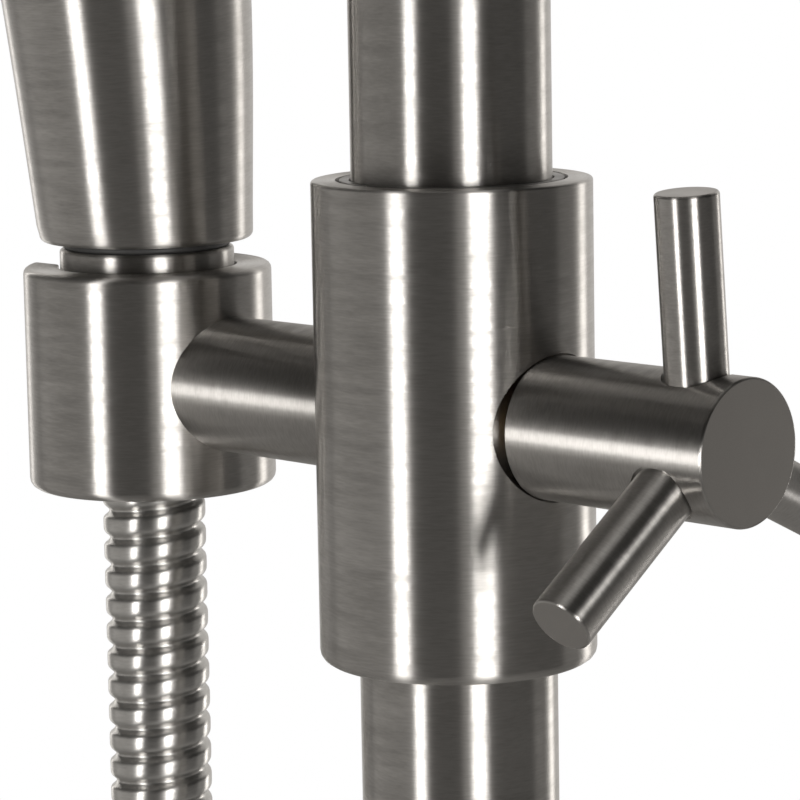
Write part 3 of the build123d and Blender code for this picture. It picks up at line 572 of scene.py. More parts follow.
def hoseStretch(name, fromTurn, toTurn, around):
    shares = np.array([share for share, _ in hose["outline"]])
    depths = np.array([depth for _, depth in hose["outline"]])
    perTurn = len(shares)
    rows = np.arange((toTurn - fromTurn) * perTurn + 1)
    turns = fromTurn + rows // perTurn + shares[rows % perTurn]
    angle = np.arange(around) / around
    distance = hose["pitch"] * (turns[:, None] + angle[None, :] - 1)
    radius = (hose["radius"] - depths[rows % perTurn])[:, None] * np.ones(around)
    spin = 2 * math.pi * angle[None, :] * np.ones(len(rows))[:, None]
    distance = np.clip(distance, 0, lineTravel[-1])
    centre = alongLine(line, distance)
    ahead = alongLine(lineHeading, distance)
    ahead /= np.linalg.norm(ahead, axis=-1)[..., None]
    side = alongLine(lineSide, distance)
    side -= ahead * np.sum(side * ahead, axis=-1)[..., None]
    side /= np.linalg.norm(side, axis=-1)[..., None]
    other = np.cross(ahead, side)
    skin = centre + radius[..., None] * (side * np.cos(spin)[..., None] + other * np.sin(spin)[..., None])
    points = [tuple(p) for p in skin.reshape(-1, 3)]
    faces, faceUvs = [], []
    lastRow = len(rows) - 1
    for row in range(lastRow):
        u0, u1 = turns[row] * hose["pitch"], turns[row + 1] * hose["pitch"]
        for k in range(around):
            here, above = row * around + k, (row + 1) * around + k
            if k < around - 1:
                faces.append((here, here + 1, above + 1, above))
            elif row + perTurn + 1 <= lastRow:
                faces.append((here, (row + perTurn) * around, (row + perTurn + 1) * around, above))
            else:
                continue
            v0, v1 = k / around, (k + 1) / around
            faceUvs.append([(u0, v0), (u0, v1), (u1, v1), (u1, v0)])
    # Each end is closed by a fan over its step
    firstLoop = list(range(around)) + [row * around for row in range(perTurn, 0, -1)]
    top = lastRow * around
    seam = [(lastRow - row) * around + around - 1 for row in range(1, perTurn + 1)]
    lastLoop = [top + k for k in range(around)] + seam
    for loop, at in ((firstLoop, fromTurn), (lastLoop, toTurn)):
        middleIndex = len(points)
        points.append(tuple(alongLine(line, np.array([max(0.0, (at - 0.5) * hose["pitch"])]))[0]))
        for a, b in zip(loop, loop[1:] + loop[:1]):
            faces.append((a, b, middleIndex))
            faceUvs.append([(0, 0), (0, 0.1), (0.001, 0)])
    return newPiece(name, meshFrom(name, points, faces, faceUvs))


stretches = {              # name, turns on the hose, facets round, body at its top, body at its foot
    "hoseAtNut": (1, 25, 44, "hose_nut", "holder"),
    "hoseAtHolder": (25, 49, 40, "holder", "sleeve"),
    "hoseAtSleeve": (49, 73, 32, "sleeve", "slider"),
    "hoseHanging": (73, 330, 22, "slider", "column"),
    "hoseReturn": (330, None, 24, "column", None),
}


def makeHose():
    lastTurn = int(lineTravel[-1] / hose["pitch"])
    above = None
    for name, (fromTurn, toTurn, around, upperBody, lowerBody) in stretches.items():
        toTurn = toTurn or lastTurn
        obj = hoseStretch(name, fromTurn, toTurn, around)
        obj.data.shade_smooth()
        obj.data.set_sharp_from_angle(angle=math.radians(hose["sharp"]))
        obj.data.materials.append(hoseSteel)
        if lowerBody is None:
            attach(obj, upperBody)
        elif name == "hoseHanging":
            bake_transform(obj)
        else:
            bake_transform(obj)
        if above is None:
            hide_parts("shower_hose")
        above = obj
    print("hose made,", round(lineTravel[-1], 3), "m long")


makeHose()


# Geometry Nodes: copies round an axis, and rings of nozzles

def startTree(name, inputs):
    tree = bpy.data.node_groups.new(name, "GeometryNodeTree")
    ids = {label: tree.interface.new_socket(name=label, in_out="INPUT", socket_type=kind).identifier
           for label, kind in inputs}
    tree.interface.new_socket(name="Geometry", in_out="OUTPUT", socket_type="NodeSocketGeometry")
    return tree, ids, tree.nodes.new("NodeGroupInput")


def endTree(tree, source, points, more):
    instances = addNode(tree, "GeometryNodeInstanceOnPoints", {
        "Points": points, "Instance": source.outputs["Geometry"], **more,
    })
    moved = addNode(tree, "GeometryNodeTransform", {
        "Geometry": instances.outputs[0], "Translation": source.outputs["Place"],
        "Rotation": source.outputs["Facing"],
    })
    realize = addNode(tree, "GeometryNodeRealizeInstances", {"Geometry": moved.outputs["Geometry"]})
    painted = addNode(tree, "GeometryNodeSetMaterial", {
        "Geometry": realize.outputs["Geometry"], "Material": source.outputs["Finish"],
    })
    addNode(tree, "NodeGroupOutput", {"Geometry": painted.outputs["Geometry"]})


commonInputs = [
    ("Geometry", "NodeSocketGeometry"),
    ("Place", "NodeSocketVector"),
    ("Facing", "NodeSocketVector"),
    ("Finish", "NodeSocketMaterial"),
]


def copiesRoundTree():
    tree, ids, source = startTree("copiesRound", commonInputs + [
        ("Copies", "NodeSocketInt"), ("Turn", "NodeSocketFloat"), ("Step", "NodeSocketFloat"),
    ])
    spots = addNode(tree, "GeometryNodePoints", {"Count": source.outputs["Copies"]})
    count = addNode(tree, "GeometryNodeInputIndex", {})
    angle = addMath(tree, "MULTIPLY_ADD", count.outputs[0], source.outputs["Step"], source.outputs["Turn"])
    turned = addNode(tree, "ShaderNodeCombineXYZ", {"Z": angle})
    endTree(tree, source, spots.outputs[0], {"Rotation": turned.outputs[0]})
    return tree, ids


def nozzleRingsTree(rings):
    inputs = commonInputs + [("Pitch", "NodeSocketFloat")]
    tree, ids, source = startTree(f"nozzleRings{rings}", inputs)
    centre = addNode(tree, "GeometryNodePoints", {"Count": 1})
    gathered = addNode(tree, "GeometryNodeJoinGeometry", {0: centre.outputs[0]})
    for ring in range(1, rings):
        radius = addMath(tree, "MULTIPLY", source.outputs["Pitch"], ring)
        circle = addNode(tree, "GeometryNodeMeshCircle", {"Vertices": 6 * ring, "Radius": radius})
        spots = addNode(tree, "GeometryNodeMeshToPoints", {0: circle.outputs[0]})
        feed(tree, gathered, {0: spots.outputs[0]})
    endTree(tree, source, gathered.outputs[0], {})
    return tree, ids


def spread(obj, treeAndIds, settings):
    tree, ids = treeAndIds
    modifier = obj.modifiers.new("spread", "NODES")
    modifier.node_group = tree
    for label, value in settings.items():
        modifier[ids[label]] = value
    return settle(obj)


def facing(xAxis, zAxis):
    return tuple(Matrix((xAxis, zAxis.cross(xAxis), zAxis)).transposed().to_euler())


copiesRound = copiesRoundTree()


def knobLevers(name, radius, root, reach, place, xAxis, zAxis, turn, endRound):
    lever = lathe(name, [(0, root), (radius, root), (radius, reach, endRound), (0, reach)],
                  Vector(), right, 64, seam=down)
    evenNormals(lever)
    return spread(lever, copiesRound, {
        "Place": tuple(place), "Facing": facing(xAxis, zAxis), "Finish": slimSteel,
        "Copies": 3, "Turn": math.radians(turn), "Step": 2 * math.pi / 3,
    })


def leverFaces(obj, place, reach):
    obj.data.materials.append(faceSteel)
    outermost, square = tolerance["leverEnd"]
    for face in obj.data.polygons:
        arm = face.center - place
        if arm.length > outermost * reach and abs(face.normal.dot(arm.normalized())) > square:
            face.material_index = 1


def leverHoles(hub, place, xAxis, yAxis, turn, radius, ring, floor, reach):
    for step in range(3):
        angle = math.radians(turn + 120 * step)
        direction = xAxis * math.cos(angle) + yAxis * math.sin(angle)
        combine(hub, rod("leverHole", radius + ring, place + direction * floor, direction, reach, steps=64))
    return hub


# Slider: bushes, sleeve and clamp knob

sleeve = {
    "bottomRound": 0.0014,
    "topEdge": 0.0004,
    "bushSeat": 0.01445,
    "seatDepth": 0.01405,
    "bore": 0.0129,
    "knobHole": 0.00915,
    "knobHoleFloor": 0.0144,
    "nutHole": 0.006,
    "bushProud": 0.00005,
}
bush = {"edge": 0.0002, "bore": 0.01268, "gap": 0.0004}
knob = {
    "edge": 0.0003,
    "start": 0.0165,
    "leverRadius": 0.00385,
    "leverInset": 0.0072,
    "leverReach": 0.0303,
    "leverTurn": 4.5,
    "ring": 0.00035,
    "ringDepth": 0.0009,
    "endRound": 0.0004,
}


def makeSlider():
    low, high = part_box("slider_sleeve")
    outer = size("slider_sleeve").x / 2
    height = high.z - low.z
    seat, deep, bore = sleeve["bushSeat"], sleeve["seatDepth"], sleeve["bore"]
    body = lathe("sliderSleeve", [
        (seat, height), (outer, height, sleeve["topEdge"]), (outer, 0, sleeve["bottomRound"]), (seat, 0),
        (seat, deep), (bore, deep), (bore, height - deep), (seat, height - deep),
    ], onRail(low.z), up, 180, seam=toWall)
    knobAxis = Vector((0, railAxis.y, sliderCentre.z))
    holeFloor = knobAxis + right * sleeve["knobHoleFloor"]
    combine(body, rod("knobHole", sleeve["knobHole"], holeFloor, right, outer))
    combine(body, rod("nutHole", sleeve["nutHole"], knobAxis, right, outer))
    finished(body, steel, "sleeve", "slider_sleeve",
             [(onRail(0), up, outer), (knobAxis, right, sleeve["knobHole"])])
    length = sleeve["seatDepth"] + sleeve["bushProud"]
    rings = []
    bushOuter = size("slider_bushes").x / 2 - bush["gap"]
    for foot in (low.z - sleeve["bushProud"], high.z - sleeve["seatDepth"]):
        rings.append(lathe("bushRing", [
            (bush["bore"], 0), (bushOuter, 0, bush["edge"]), (bushOuter, length, bush["edge"]),
            (bush["bore"], length, bush["edge"]),
        ], onRail(foot), up, 144))
    bushes = joined("sliderBushes", rings)
    finished(bushes, bushMetal, "slider", "slider_bushes")


def makeClampKnob():
    radius = size("clamp_hub").z / 2
    start = Vector((knob["start"], railAxis.y, sliderCentre.z))
    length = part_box("clamp_hub")[1].x - start.x
    hub = rod("clampHub", radius, start, right, length, knob["edge"], 144)
    centre = start + right * (length - knob["leverInset"])
    leverHoles(hub, centre, up, toBather, knob["leverTurn"], knob["leverRadius"], knob["ring"],
               radius - knob["ringDepth"], radius)
    finished(hub, steel, "clamp_knob", "clamp_hub", [(start, right, radius)], faceAxis=right)
    root = radius - 2 * knob["ringDepth"]
    levers = knobLevers("clampLevers", knob["leverRadius"], root, knob["leverReach"], centre, up, right,
                        knob["leverTurn"], knob["endRound"])
    dress(levers, slimSteel, "clamp_knob", "clamp_levers")
    leverFaces(levers, centre, knob["leverReach"])


makeSlider()
makeClampKnob()
print("slider and clamp knob made")


# Holder: bar, cradle with its slot, and liner

cradle = {
    "wall": 0.0028,
    "bottomRound": 0.0012,
    "topRound": 0.0009,
    "slot": 0.0154,
    "slotRound": 0.0005,
    "barSink": 0.0002,
    "lip": 0.0121,
    "lipDepth": 0.0018,
    "innerRound": 0.0003,
}


def slottedRing(name, corners, centre, slotWidth, steps=132):
    outline = softened(corners)
    across, other = left, left.cross(up) * -1
    points, faces, faceUvs = [], [], []
    rows = []
    for radius, height in outline:
        gap = math.asin(min(0.999, slotWidth / 2 / radius))
        row = []
        for step in range(steps + 1):
            angle = gap + (2 * math.pi - 2 * gap) * step / steps
            spoke = across * math.cos(angle) + other * math.sin(angle)
            row.append(len(points))
            points.append(centre + up * height + spoke * radius)
        rows.append(row)
    travelled = 0.0
    for index in range(len(outline)):
        after = (index + 1) % len(outline)
        run = (outline[after] - outline[index]).length
        for step in range(steps):
            faces.append([rows[index][step], rows[index][step + 1], rows[after][step + 1], rows[after][step]])
            v0, v1 = step / steps, (step + 1) / steps
            faceUvs.append([(travelled, v0), (travelled, v1), (travelled + run, v1), (travelled + run, v0)])
        travelled += run
    for step in (0, steps):
        faces.append([row[step] for row in rows])
        faceUvs.append([(radius, height) for radius, height in outline])
    return newPiece(name, meshFrom(name, points, faces, faceUvs))


def roundSlotEdges(obj, width):
    cleaner = bmesh.new()
    cleaner.from_mesh(obj.data)
    cleaner.faces.ensure_lookup_table()
    edges = set()
    for face in cleaner.faces:
        if len(face.verts) > 4:
            edges.update(face.edges)
    bmesh.ops.bevel(cleaner, geom=list(edges), offset=width, segments=3, profile=0.5, affect="EDGES",
                    clamp_overlap=True)
    bmesh.ops.recalc_face_normals(cleaner, faces=cleaner.faces)
    cleaner.to_mesh(obj.data)
    cleaner.free()
    return obj


def makeHolder():
    low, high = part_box("holder_cradle")
    outer = size("holder_cradle").y / 2
    height = high.z - low.z
    bore = outer - cradle["wall"]
    lip, under = cradle["lip"], height - cradle["lipDepth"]
    ring = slottedRing("holderCradle", [
        (lip, height, cradle["innerRound"]), (outer, height, cradle["topRound"]),
        (outer, 0, cradle["bottomRound"]), (bore, 0, cradle["innerRound"]), (bore, under), (lip, under),
    ], onCradle(low.z), cradle["slot"])
    roundSlotEdges(ring, cradle["slotRound"])
    finished(ring, steel, "holder", "holder_cradle", [(onCradle(0), up, outer)])
    barRadius = size("holder_bar").z / 2
    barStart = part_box("holder_bar")[1].x
    barEnd = cradleAxis.x + math.sqrt(outer ** 2 - barRadius ** 2) - cradle["barSink"]
    start = Vector((barStart, railAxis.y, sliderCentre.z))
    bar = rod("holderBar", barRadius, start, left, barStart - barEnd, steps=120)
    finished(bar, steel, "holder", "holder_bar")


nut = {                    # heights from the slider's centre
    "foot": -0.009,
    "footRadius": 0.0099,
    "neck": 0.013,
    "neckRadius": 0.0115,
    "collarRadius": 0.0118,
    "edge": 0.0005,
    "collarStep": 0.0006,
    "socketRadius": 0.0101,
    "socketFloor": 0.004,
    "boreRadius": 0.0072,
    "sealEdge": 0.0004,
    "play": 0.00005,
}


def coneRadius(height):
    slope = (nut["neckRadius"] - nut["footRadius"]) / (nut["neck"] - nut["foot"])
    return nut["footRadius"] + slope * (height - nut["foot"])


def makeNutAndSeal():
    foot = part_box("cradle_liner")[0].z - sliderCentre.z
    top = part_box("holder_cradle")[1].z - sliderCentre.z - cradle["lipDepth"] - nut["play"]
    bore = size("cradle_liner").y / 2
    liner = slottedRing("cradleLiner", [
        (coneRadius(foot) + nut["play"], foot), (bore - nut["play"], foot),
        (bore - nut["play"], top, cradle["innerRound"]),
        (coneRadius(top) + nut["play"], top, cradle["innerRound"]),
    ], onCradle(sliderCentre.z), cradle["slot"])
    finished(liner, linerBlack, "holder", "cradle_liner")
    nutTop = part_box("cone_nut")[1].z - sliderCentre.z
    cone = lathe("coneNut", [
        (nut["socketRadius"], nutTop), (nut["collarRadius"], nutTop, nut["edge"]),
        (nut["collarRadius"], nut["neck"] + nut["collarStep"], nut["edge"] / 2),
        (nut["neckRadius"], nut["neck"]),
        (nut["footRadius"], nut["foot"], nut["edge"]), (nut["boreRadius"], nut["foot"]),
        (nut["boreRadius"], nut["socketFloor"]), (nut["socketRadius"], nut["socketFloor"]),
    ], onCradle(sliderCentre.z), up, 120)
    finished(cone, steel, "hose_nut", "cone_nut")
    sealLow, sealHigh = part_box("swivel_seal")
    sealRadius, thick = size("swivel_seal").x / 2, sealHigh.z - sealLow.z
    seal = lathe("swivelSeal", [
        (nut["socketRadius"], 0), (sealRadius, 0, nut["sealEdge"]), (sealRadius, thick, nut["sealEdge"]),
        (nut["socketRadius"], thick),
    ], onCradle(sealLow.z), up, 120)
    finished(seal, blackRubber, "hose_nut", "swivel_seal")


makeHolder()
makeNutAndSeal()
print("holder and nut made")


# Handset

handset = {
    "footRadius": 0.01445,
    "footRound": 0.0009,
    "play": 0.00005,
    "tailRadius": 0.01005,
    "stations": [          # height above the foot, forward offset, radius
        (0.0, 0.0, 0.01445), (0.032, 0.0022, 0.0166), (0.070, 0.007, 0.0182), (0.110, 0.015, 0.0179),
        (0.150, 0.026, 0.0153),
    ],
    "stationStep": 0.003,
    "probe": 0.001,
    "lean": 40.0,
    "headRadius": 0.050,
    "overlap": 0.006,
    "rim": 0.009,
    "back": [              # radius, height behind the rim, round
        (0, 0.011), (0.030, 0.010, 0.03), (0.045, 0.00605, 0.006), (0.050, 0.0005, 0.003),
    ],
    "rimRound": 0.0006,
    "wall": 0.0025,
    "faceThick": 0.002,
    "rings": 4,
    "ringPitch": 0.010,
    "nubRadius": 0.0014,
    "nubProud": 0.002,
}
nub = {"sink": 0.001, "hole": 0.0006, "tip": 0.86, "tipRound": 0.35, "holeShare": 0.3}


def through(heights, values, at):
    slopes = np.gradient(values, heights)
    index = int(np.clip(np.searchsorted(heights, at) - 1, 0, len(heights) - 2))
    gap = heights[index + 1] - heights[index]
    t = (at - heights[index]) / gap
    low = (2 * t ** 3 - 3 * t ** 2 + 1) * values[index] + (t ** 3 - 2 * t ** 2 + t) * gap * slopes[index]
    high = (3 * t ** 2 - 2 * t ** 3) * values[index + 1] + (t ** 3 - t ** 2) * gap * slopes[index + 1]
    return float(low + high)


def tubeOf(name, hoops, steps=120, seam=toWall):
    points, faces, faceUvs = [], [], []
    travelled = [0.0]
    for centre, direction, radius in hoops:
        across, other = crossAxes(direction, seam)
        for step in range(steps):
            angle = 2 * math.pi * step / steps
            points.append(centre + (across * math.cos(angle) + other * math.sin(angle)) * float(radius))
    for index in range(len(hoops) - 1):
        rise = (hoops[index + 1][0] - hoops[index][0]).length
        travelled.append(travelled[-1] + math.hypot(rise, hoops[index + 1][2] - hoops[index][2]))
        for step in range(steps):
            following = (step + 1) % steps
            low, high = index * steps, (index + 1) * steps
            faces.append([low + step, low + following, high + following, high + step])
            u0, u1 = travelled[-2], travelled[-1]
            v0, v1 = step / steps, (step + 1) / steps
            faceUvs.append([(u0, v0), (u0, v1), (u1, v1), (u1, v0)])
    for index in (0, len(hoops) - 1):
        hub = len(points)
        points.append(hoops[index][0].copy())
        for step in range(steps):
            following = (step + 1) % steps
            faces.append([index * steps + step, index * steps + following, hub])
            faceUvs.append([(0, step / steps), (0, (step + 1) / steps), (hoops[index][2], step / steps)])
    return newPiece(name, meshFrom(name, points, faces, faceUvs))


def makeHandset():
    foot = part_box("swivel_seal")[1].z + handset["play"]
    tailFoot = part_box("handset_handle")[0].z
    heights, forwards, radii = zip(*handset["stations"])
    hoops = [(onCradle(tailFoot), up, handset["tailRadius"]), (onCradle(foot), up, handset["tailRadius"])]
    roundness = handset["footRound"]
    for angle in np.linspace(0, math.pi / 2, 6):
        radius = handset["footRadius"] - roundness * (1 - math.sin(angle))
        hoops.append((onCradle(foot + roundness * (1 - math.cos(angle))), up, radius))
    rise, probe = handset["stationStep"], handset["probe"]
    while rise <= heights[-1] + 1e-6:
        forward = through(heights, forwards, rise)
        radius = through(heights, radii, rise)
        above = through(heights, forwards, min(rise + probe, heights[-1]))
        ahead = above - through(heights, forwards, rise - probe)
        lean = Vector((0, -ahead, 2 * probe)).normalized()
        hoops.append((onCradle(foot + rise) + toBather * forward, lean, radius))
        rise += handset["stationStep"]
    handle = tubeOf("handsetHandle", hoops, 144, seam=toWall)
    finished(handle, steel, "handset", "handset_handle", sharp=50)
    lean = math.radians(handset["lean"])
    alongHead = Vector((0, -math.sin(lean), math.cos(lean)))
    headBack = Vector((0, math.cos(lean), math.sin(lean)))
    headCentre = onCradle(foot + heights[-1]) + toBather * forwards[-1]
    headCentre += alongHead * (handset["headRadius"] - handset["overlap"])
    radius, rim, wall = handset["headRadius"], handset["rim"], handset["wall"]
    face = -rim + handset["faceThick"]
    head = lathe("handsetHead", handset["back"] + [
        (radius, -rim, handset["rimRound"]), (radius - wall, -rim), (radius - wall, face), (0, face),
    ], headCentre, headBack, 180, seam=-alongHead, arcSteps=6)
    finished(head, steel, "handset", "handset_head")
    frontCentre = headCentre - headBack * rim
    makeNozzles("handsetNozzles", handset, frontCentre, -headBack, alongHead, "handset", "handset_nozzles")


def makeNozzles(name, facts, centre, outward, xAxis, body, node):
    radius, proud = facts["nubRadius"], facts["nubProud"]
    hole, holeFloor = radius * nub["holeShare"], proud - nub["hole"]
    obj = lathe(name, [
        (0, -nub["sink"]), (radius, -nub["sink"]), (radius * nub["tip"], proud, radius * nub["tipRound"]),
        (hole, proud), (hole, holeFloor), (0, holeFloor),
    ], Vector(), up, 20, arcSteps=2)
    evenNormals(obj, sharp=45)
    spread(obj, nozzleRingsTree(facts["rings"]), {
        "Place": tuple(centre), "Facing": facing(xAxis, outward), "Finish": nozzleGrey,
        "Pitch": facts["ringPitch"],
    })
    dress(obj, nozzleGrey, body, node)


makeHandset()
print("handset made")


# Riser rail, riser nut and wall bracket

riser = {"railWall": 0.0012, "railEdge": 0.0003, "nutEdge": 0.001, "nutFootEdge": 0.0005}
bracket = {
    "flangeThick": 0.006,
    "flangeEdge": 0.0009,
    "boss": 0.014,
    "bossRadius": 0.013,
    "bossEdge": 0.0008,
    "bossFoot": 0.0006,
    "postRadius": 0.009,
    "postSink": 0.004,
    "ringEdge": 0.0007,
    "screwCentres": 0.036,
    "screwHead": 0.0044,
    "screwHeadHeight": 0.0026,
    "screwShank": 0.0024,
    "screwRound": 0.0013,
    "screwUnder": 0.0002,
    "screwTip": 0.0008,
    "keyFlats": 0.0028,
    "keyDepth": 0.0014,
    "keyLength": 0.004,
}


def makeRiser():
    foot, outer, length = upright("riser_rail")
    inner = outer - riser["railWall"]
    rail = lathe("riserRail", [
        (inner, 0), (outer, 0, riser["railEdge"]), (outer, length, riser["railEdge"]), (inner, length),
    ], foot, up, 180)
    finished(rail, steel, "column", "riser_rail")
    foot, radius, length = upright("riser_nut")
    nutPiece = lathe("riserNut", [
        (outer, 0), (radius, 0, riser["nutFootEdge"]), (radius, length, riser["nutEdge"]), (outer, length),
    ], foot, up, 144)
    finished(nutPiece, steel, "column", "riser_nut")


def makeBracket():
    radius = size("bracket_flange").x / 2
    thick = bracket["flangeThick"]
    plate = lathe("bracketFlange", [
        (0, 0), (radius, 0), (radius, thick, bracket["flangeEdge"]),
        (bracket["bossRadius"], thick, bracket["bossFoot"]),
        (bracket["bossRadius"], thick + bracket["boss"], bracket["bossEdge"]), (0, thick + bracket["boss"]),
    ], Vector(), toBather, 144, seam=up)
    for side in (-1, 1):
        place = right * (side * bracket["screwCentres"] / 2)
        seat = place + toBather * (thick - bracket["screwHeadHeight"])
        hole = bracket["screwHead"] + bracket["screwUnder"]
        combine(plate, rod("screwSeat", hole, seat, toBather, thick, steps=48))
    finished(plate, steel, "column", "bracket_flange", faceAxis=toBather)
    ringRadius = size("bracket_arm").x / 2
    ringLow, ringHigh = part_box("bracket_arm")
    height = ringHigh.z - ringLow.z
    postStart = Vector((0, -thick - bracket["boss"] + bracket["postSink"], 0))
    post = rod("bracketArm", bracket["postRadius"], postStart, toBather, postStart.y - railAxis.y)
    ring = rod("bracketRing", ringRadius, onRail(ringLow.z), up, height, bracket["ringEdge"], 144)
    combine(post, ring, "UNION")
    railOuter = size("riser_rail").x / 2
    combine(post, rod("railHole", railOuter, onRail(ringLow.z - past), up, height + 2 * past, steps=144))
    finished(post, steel, "column", "bracket_arm",
             [(onRail(0), up, ringRadius), (Vector(), toBather, bracket["postRadius"])])
    headHeight, headRadius, shank = (bracket[k] for k in ("screwHeadHeight", "screwHead", "screwShank"))
    shankLength = size("wall_screws").y - headHeight
    screwPlace = right * (bracket["screwCentres"] / 2)
    screw = lathe("wallScrews", [
        (0, headHeight), (headRadius, headHeight, bracket["screwRound"]),
        (headRadius, 0, bracket["screwUnder"]),
        (shank, 0), (shank, -shankLength, bracket["screwTip"]), (0, -shankLength),
    ], screwPlace, up, 48)
    keyFloor = screwPlace + up * (headHeight - bracket["keyDepth"])
    keyCorner = bracket["keyFlats"] / 2 / math.cos(math.pi / 6)
    combine(screw, rod("key", keyCorner, keyFloor, up, bracket["keyLength"], steps=6))
    evenNormals(screw, sharp=40)
    seat = toBather * (thick - headHeight)
    spread(screw, copiesRound, {
        "Place": tuple(seat), "Facing": facing(right, toBather), "Finish": screwSteel,
        "Copies": 2, "Turn": 0.0, "Step": math.pi,
    })
    dress(screw, screwSteel, "column", "wall_screws")


makeRiser()
makeBracket()
print("riser and bracket made")


# Overhead arm, its socket, ball joint and rose

overhead = {
    "socketEdge": 0.001,
    "bend": 0.045,
    "collarFlats": 0.024,
    "collar": 0.010,
    "collarEdge": 0.0006,
    "insideStud": 0.012,
    "play": 0.00005,
    "neckRadius": 0.0055,
    "neck": 0.012,
    "ballRadius": 0.009,
}
chamfer = {"slope": 0.6, "past": 0.0002}
rose = {
    "nutTop": 0.008,       # heights from the ball's centre
    "nutFoot": -0.012,
    "mouth": 0.0092,
    "throat": [            # radius, height: the nut's inside, from the mouth down
        (0.0072, 0.005), (0.0092, 0.001), (0.0105, -0.004),
    ],
    "bossRadius": 0.0122,
    "bossTop": -0.008,
    "bossFoot": -0.020,
    "bossEdge": 0.0004,
    "footRound": 0.001,
    "ease": 0.0006,
    "step": 0.008,
    "stepRound": 0.006,
    "shoulderRound": 0.0022,
    "shoulder": 0.008,
    "rim": 0.010,
    "edge": 0.002,
    "wall": 0.0025,
    "faceThick": 0.0025,
    "rings": 5,
    "ringPitch": 0.020,
    "nubRadius": 0.0018,
    "nubProud": 0.0025,
}


def hexBlock(name, flats, start, direction, length, edge, seam):
    corner = flats / 2 / math.cos(math.pi / 6)
    block = lathe(name, [(0, 0), (corner, 0), (corner, length), (0, length)], start, direction, 6, seam=seam)
    fall = (corner - flats / 2) * chamfer["slope"] + edge * 0.5
    wide, narrow = corner + chamfer["past"], flats / 2 - edge
    blank = lathe("blank", [
        (0, 0), (narrow, 0), (wide, fall), (wide, length - fall), (narrow, length), (0, length),
    ], start, direction, 96, seam=seam)
    return combine(block, blank, "INTERSECT")


def makeArm():
    foot, radius, length = upright("arm_socket")
    railOuter = size("riser_rail").x / 2
    armRadius = size("overhead_arm").x / 2
    socket = lathe("armSocket", [
        (railOuter, 0), (radius, 0, overhead["socketEdge"]), (radius, length, overhead["socketEdge"]),
        (armRadius + overhead["play"], length),
    ], foot, up, 144)
    finished(socket, steel, "column", "arm_socket")
    armLow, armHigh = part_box("overhead_arm")
    topZ = armHigh.z - armRadius
    endY = armLow.y + armRadius
    bend = overhead["bend"]
    hoops = []
    foot = armLow.z
    quarter = [math.radians(90 * step / 24) for step in range(1, 24)]
    for share in np.linspace(0, 1, 12):
        hoops.append((onRail(foot + (topZ - bend - foot) * share), up, armRadius))
    for angle in quarter:
        centre = Vector((0, railAxis.y - bend * (1 - math.cos(angle)), topZ - bend + bend * math.sin(angle)))
        hoops.append((centre, Vector((0, -math.sin(angle), math.cos(angle))), armRadius))
    for share in np.linspace(0, 1, 12):
        y = railAxis.y - bend + (endY + bend - railAxis.y + bend) * share
        hoops.append((Vector((0, y, topZ)), toBather, armRadius))
    for angle in quarter:
        centre = Vector((0, endY + bend - bend * math.sin(angle), topZ - bend + bend * math.cos(angle)))
        hoops.append((centre, Vector((0, -math.cos(angle), -math.sin(angle))), armRadius))
    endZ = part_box("ball_stud")[1].z - overhead["insideStud"]
    for share in np.linspace(0, 1, 4):
        hoops.append((Vector((0, endY, topZ - bend + (endZ - topZ + bend) * share)), down, armRadius))
    arm = tubeOf("overheadArm", hoops, 120, seam=right)
    finished(arm, steel, "arm", "overhead_arm", sharp=50)
    return Vector((0, endY, endZ))


def makeRose(armEnd):
    ballRadius = overhead["ballRadius"]
    ballCentre = Vector((armEnd.x, armEnd.y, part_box("ball_stud")[0].z + ballRadius))
    collar = hexBlock("ballStud", overhead["collarFlats"], armEnd, down, overhead["collar"],
                      overhead["collarEdge"], right)
    neckTop = armEnd.z - overhead["collar"] - ballCentre.z + 2 * past
    ballOutline = [(0, neckTop), (overhead["neckRadius"], neckTop)]
    start = math.asin(overhead["neckRadius"] / ballRadius)
    for step in range(25):
        angle = start + (math.pi - start) * step / 24
        ballOutline.append((ballRadius * math.sin(angle), ballRadius * math.cos(angle)))
    ballOutline[-1] = (0, -ballRadius)
    combine(collar, lathe("ball", ballOutline, ballCentre, up, 96), "UNION")
    finished(collar, steel, "ball", "ball_stud")
    nutRadius = size("rose_nut").x / 2
    nutPiece = lathe("roseNut", [
        (rose["throat"][-1][0], rose["nutFoot"]), (nutRadius, rose["nutFoot"], 0.0005),
        (nutRadius, rose["nutTop"], 0.0012), (rose["mouth"], rose["nutTop"], 0.0004), *rose["throat"],
    ], ballCentre, up, 120)
    finished(nutPiece, steel, "rose", "rose_nut")
    radius = size("rose_body").x / 2
    shoulder = rose["bossFoot"]
    rimTop = shoulder - rose["shoulder"]
    rimFoot = rimTop - rose["rim"]
    inside, face, boss = radius - rose["wall"], rimFoot + rose["faceThick"], rose["bossRadius"]
    body = lathe("roseBody", [
        (0, rose["bossTop"]), (boss, rose["bossTop"], rose["bossEdge"]),
        (boss, shoulder + rose["ease"], rose["footRound"]),
        (boss + rose["step"], shoulder - rose["edge"], rose["stepRound"]),
        (radius, rimTop - rose["ease"], rose["shoulderRound"]),
        (radius, rimFoot, rose["ease"]), (inside, rimFoot), (inside, face), (0, face),
    ], ballCentre, up, 200, arcSteps=5)
    finished(body, steel, "rose", "rose_body")
    makeNozzles("roseNozzles", rose, ballCentre + up * rimFoot, down, right, "rose", "rose_nozzles")


makeRose(makeArm())
print("arm and rose made")


# Mixing valve with its unions, bonnets and handles

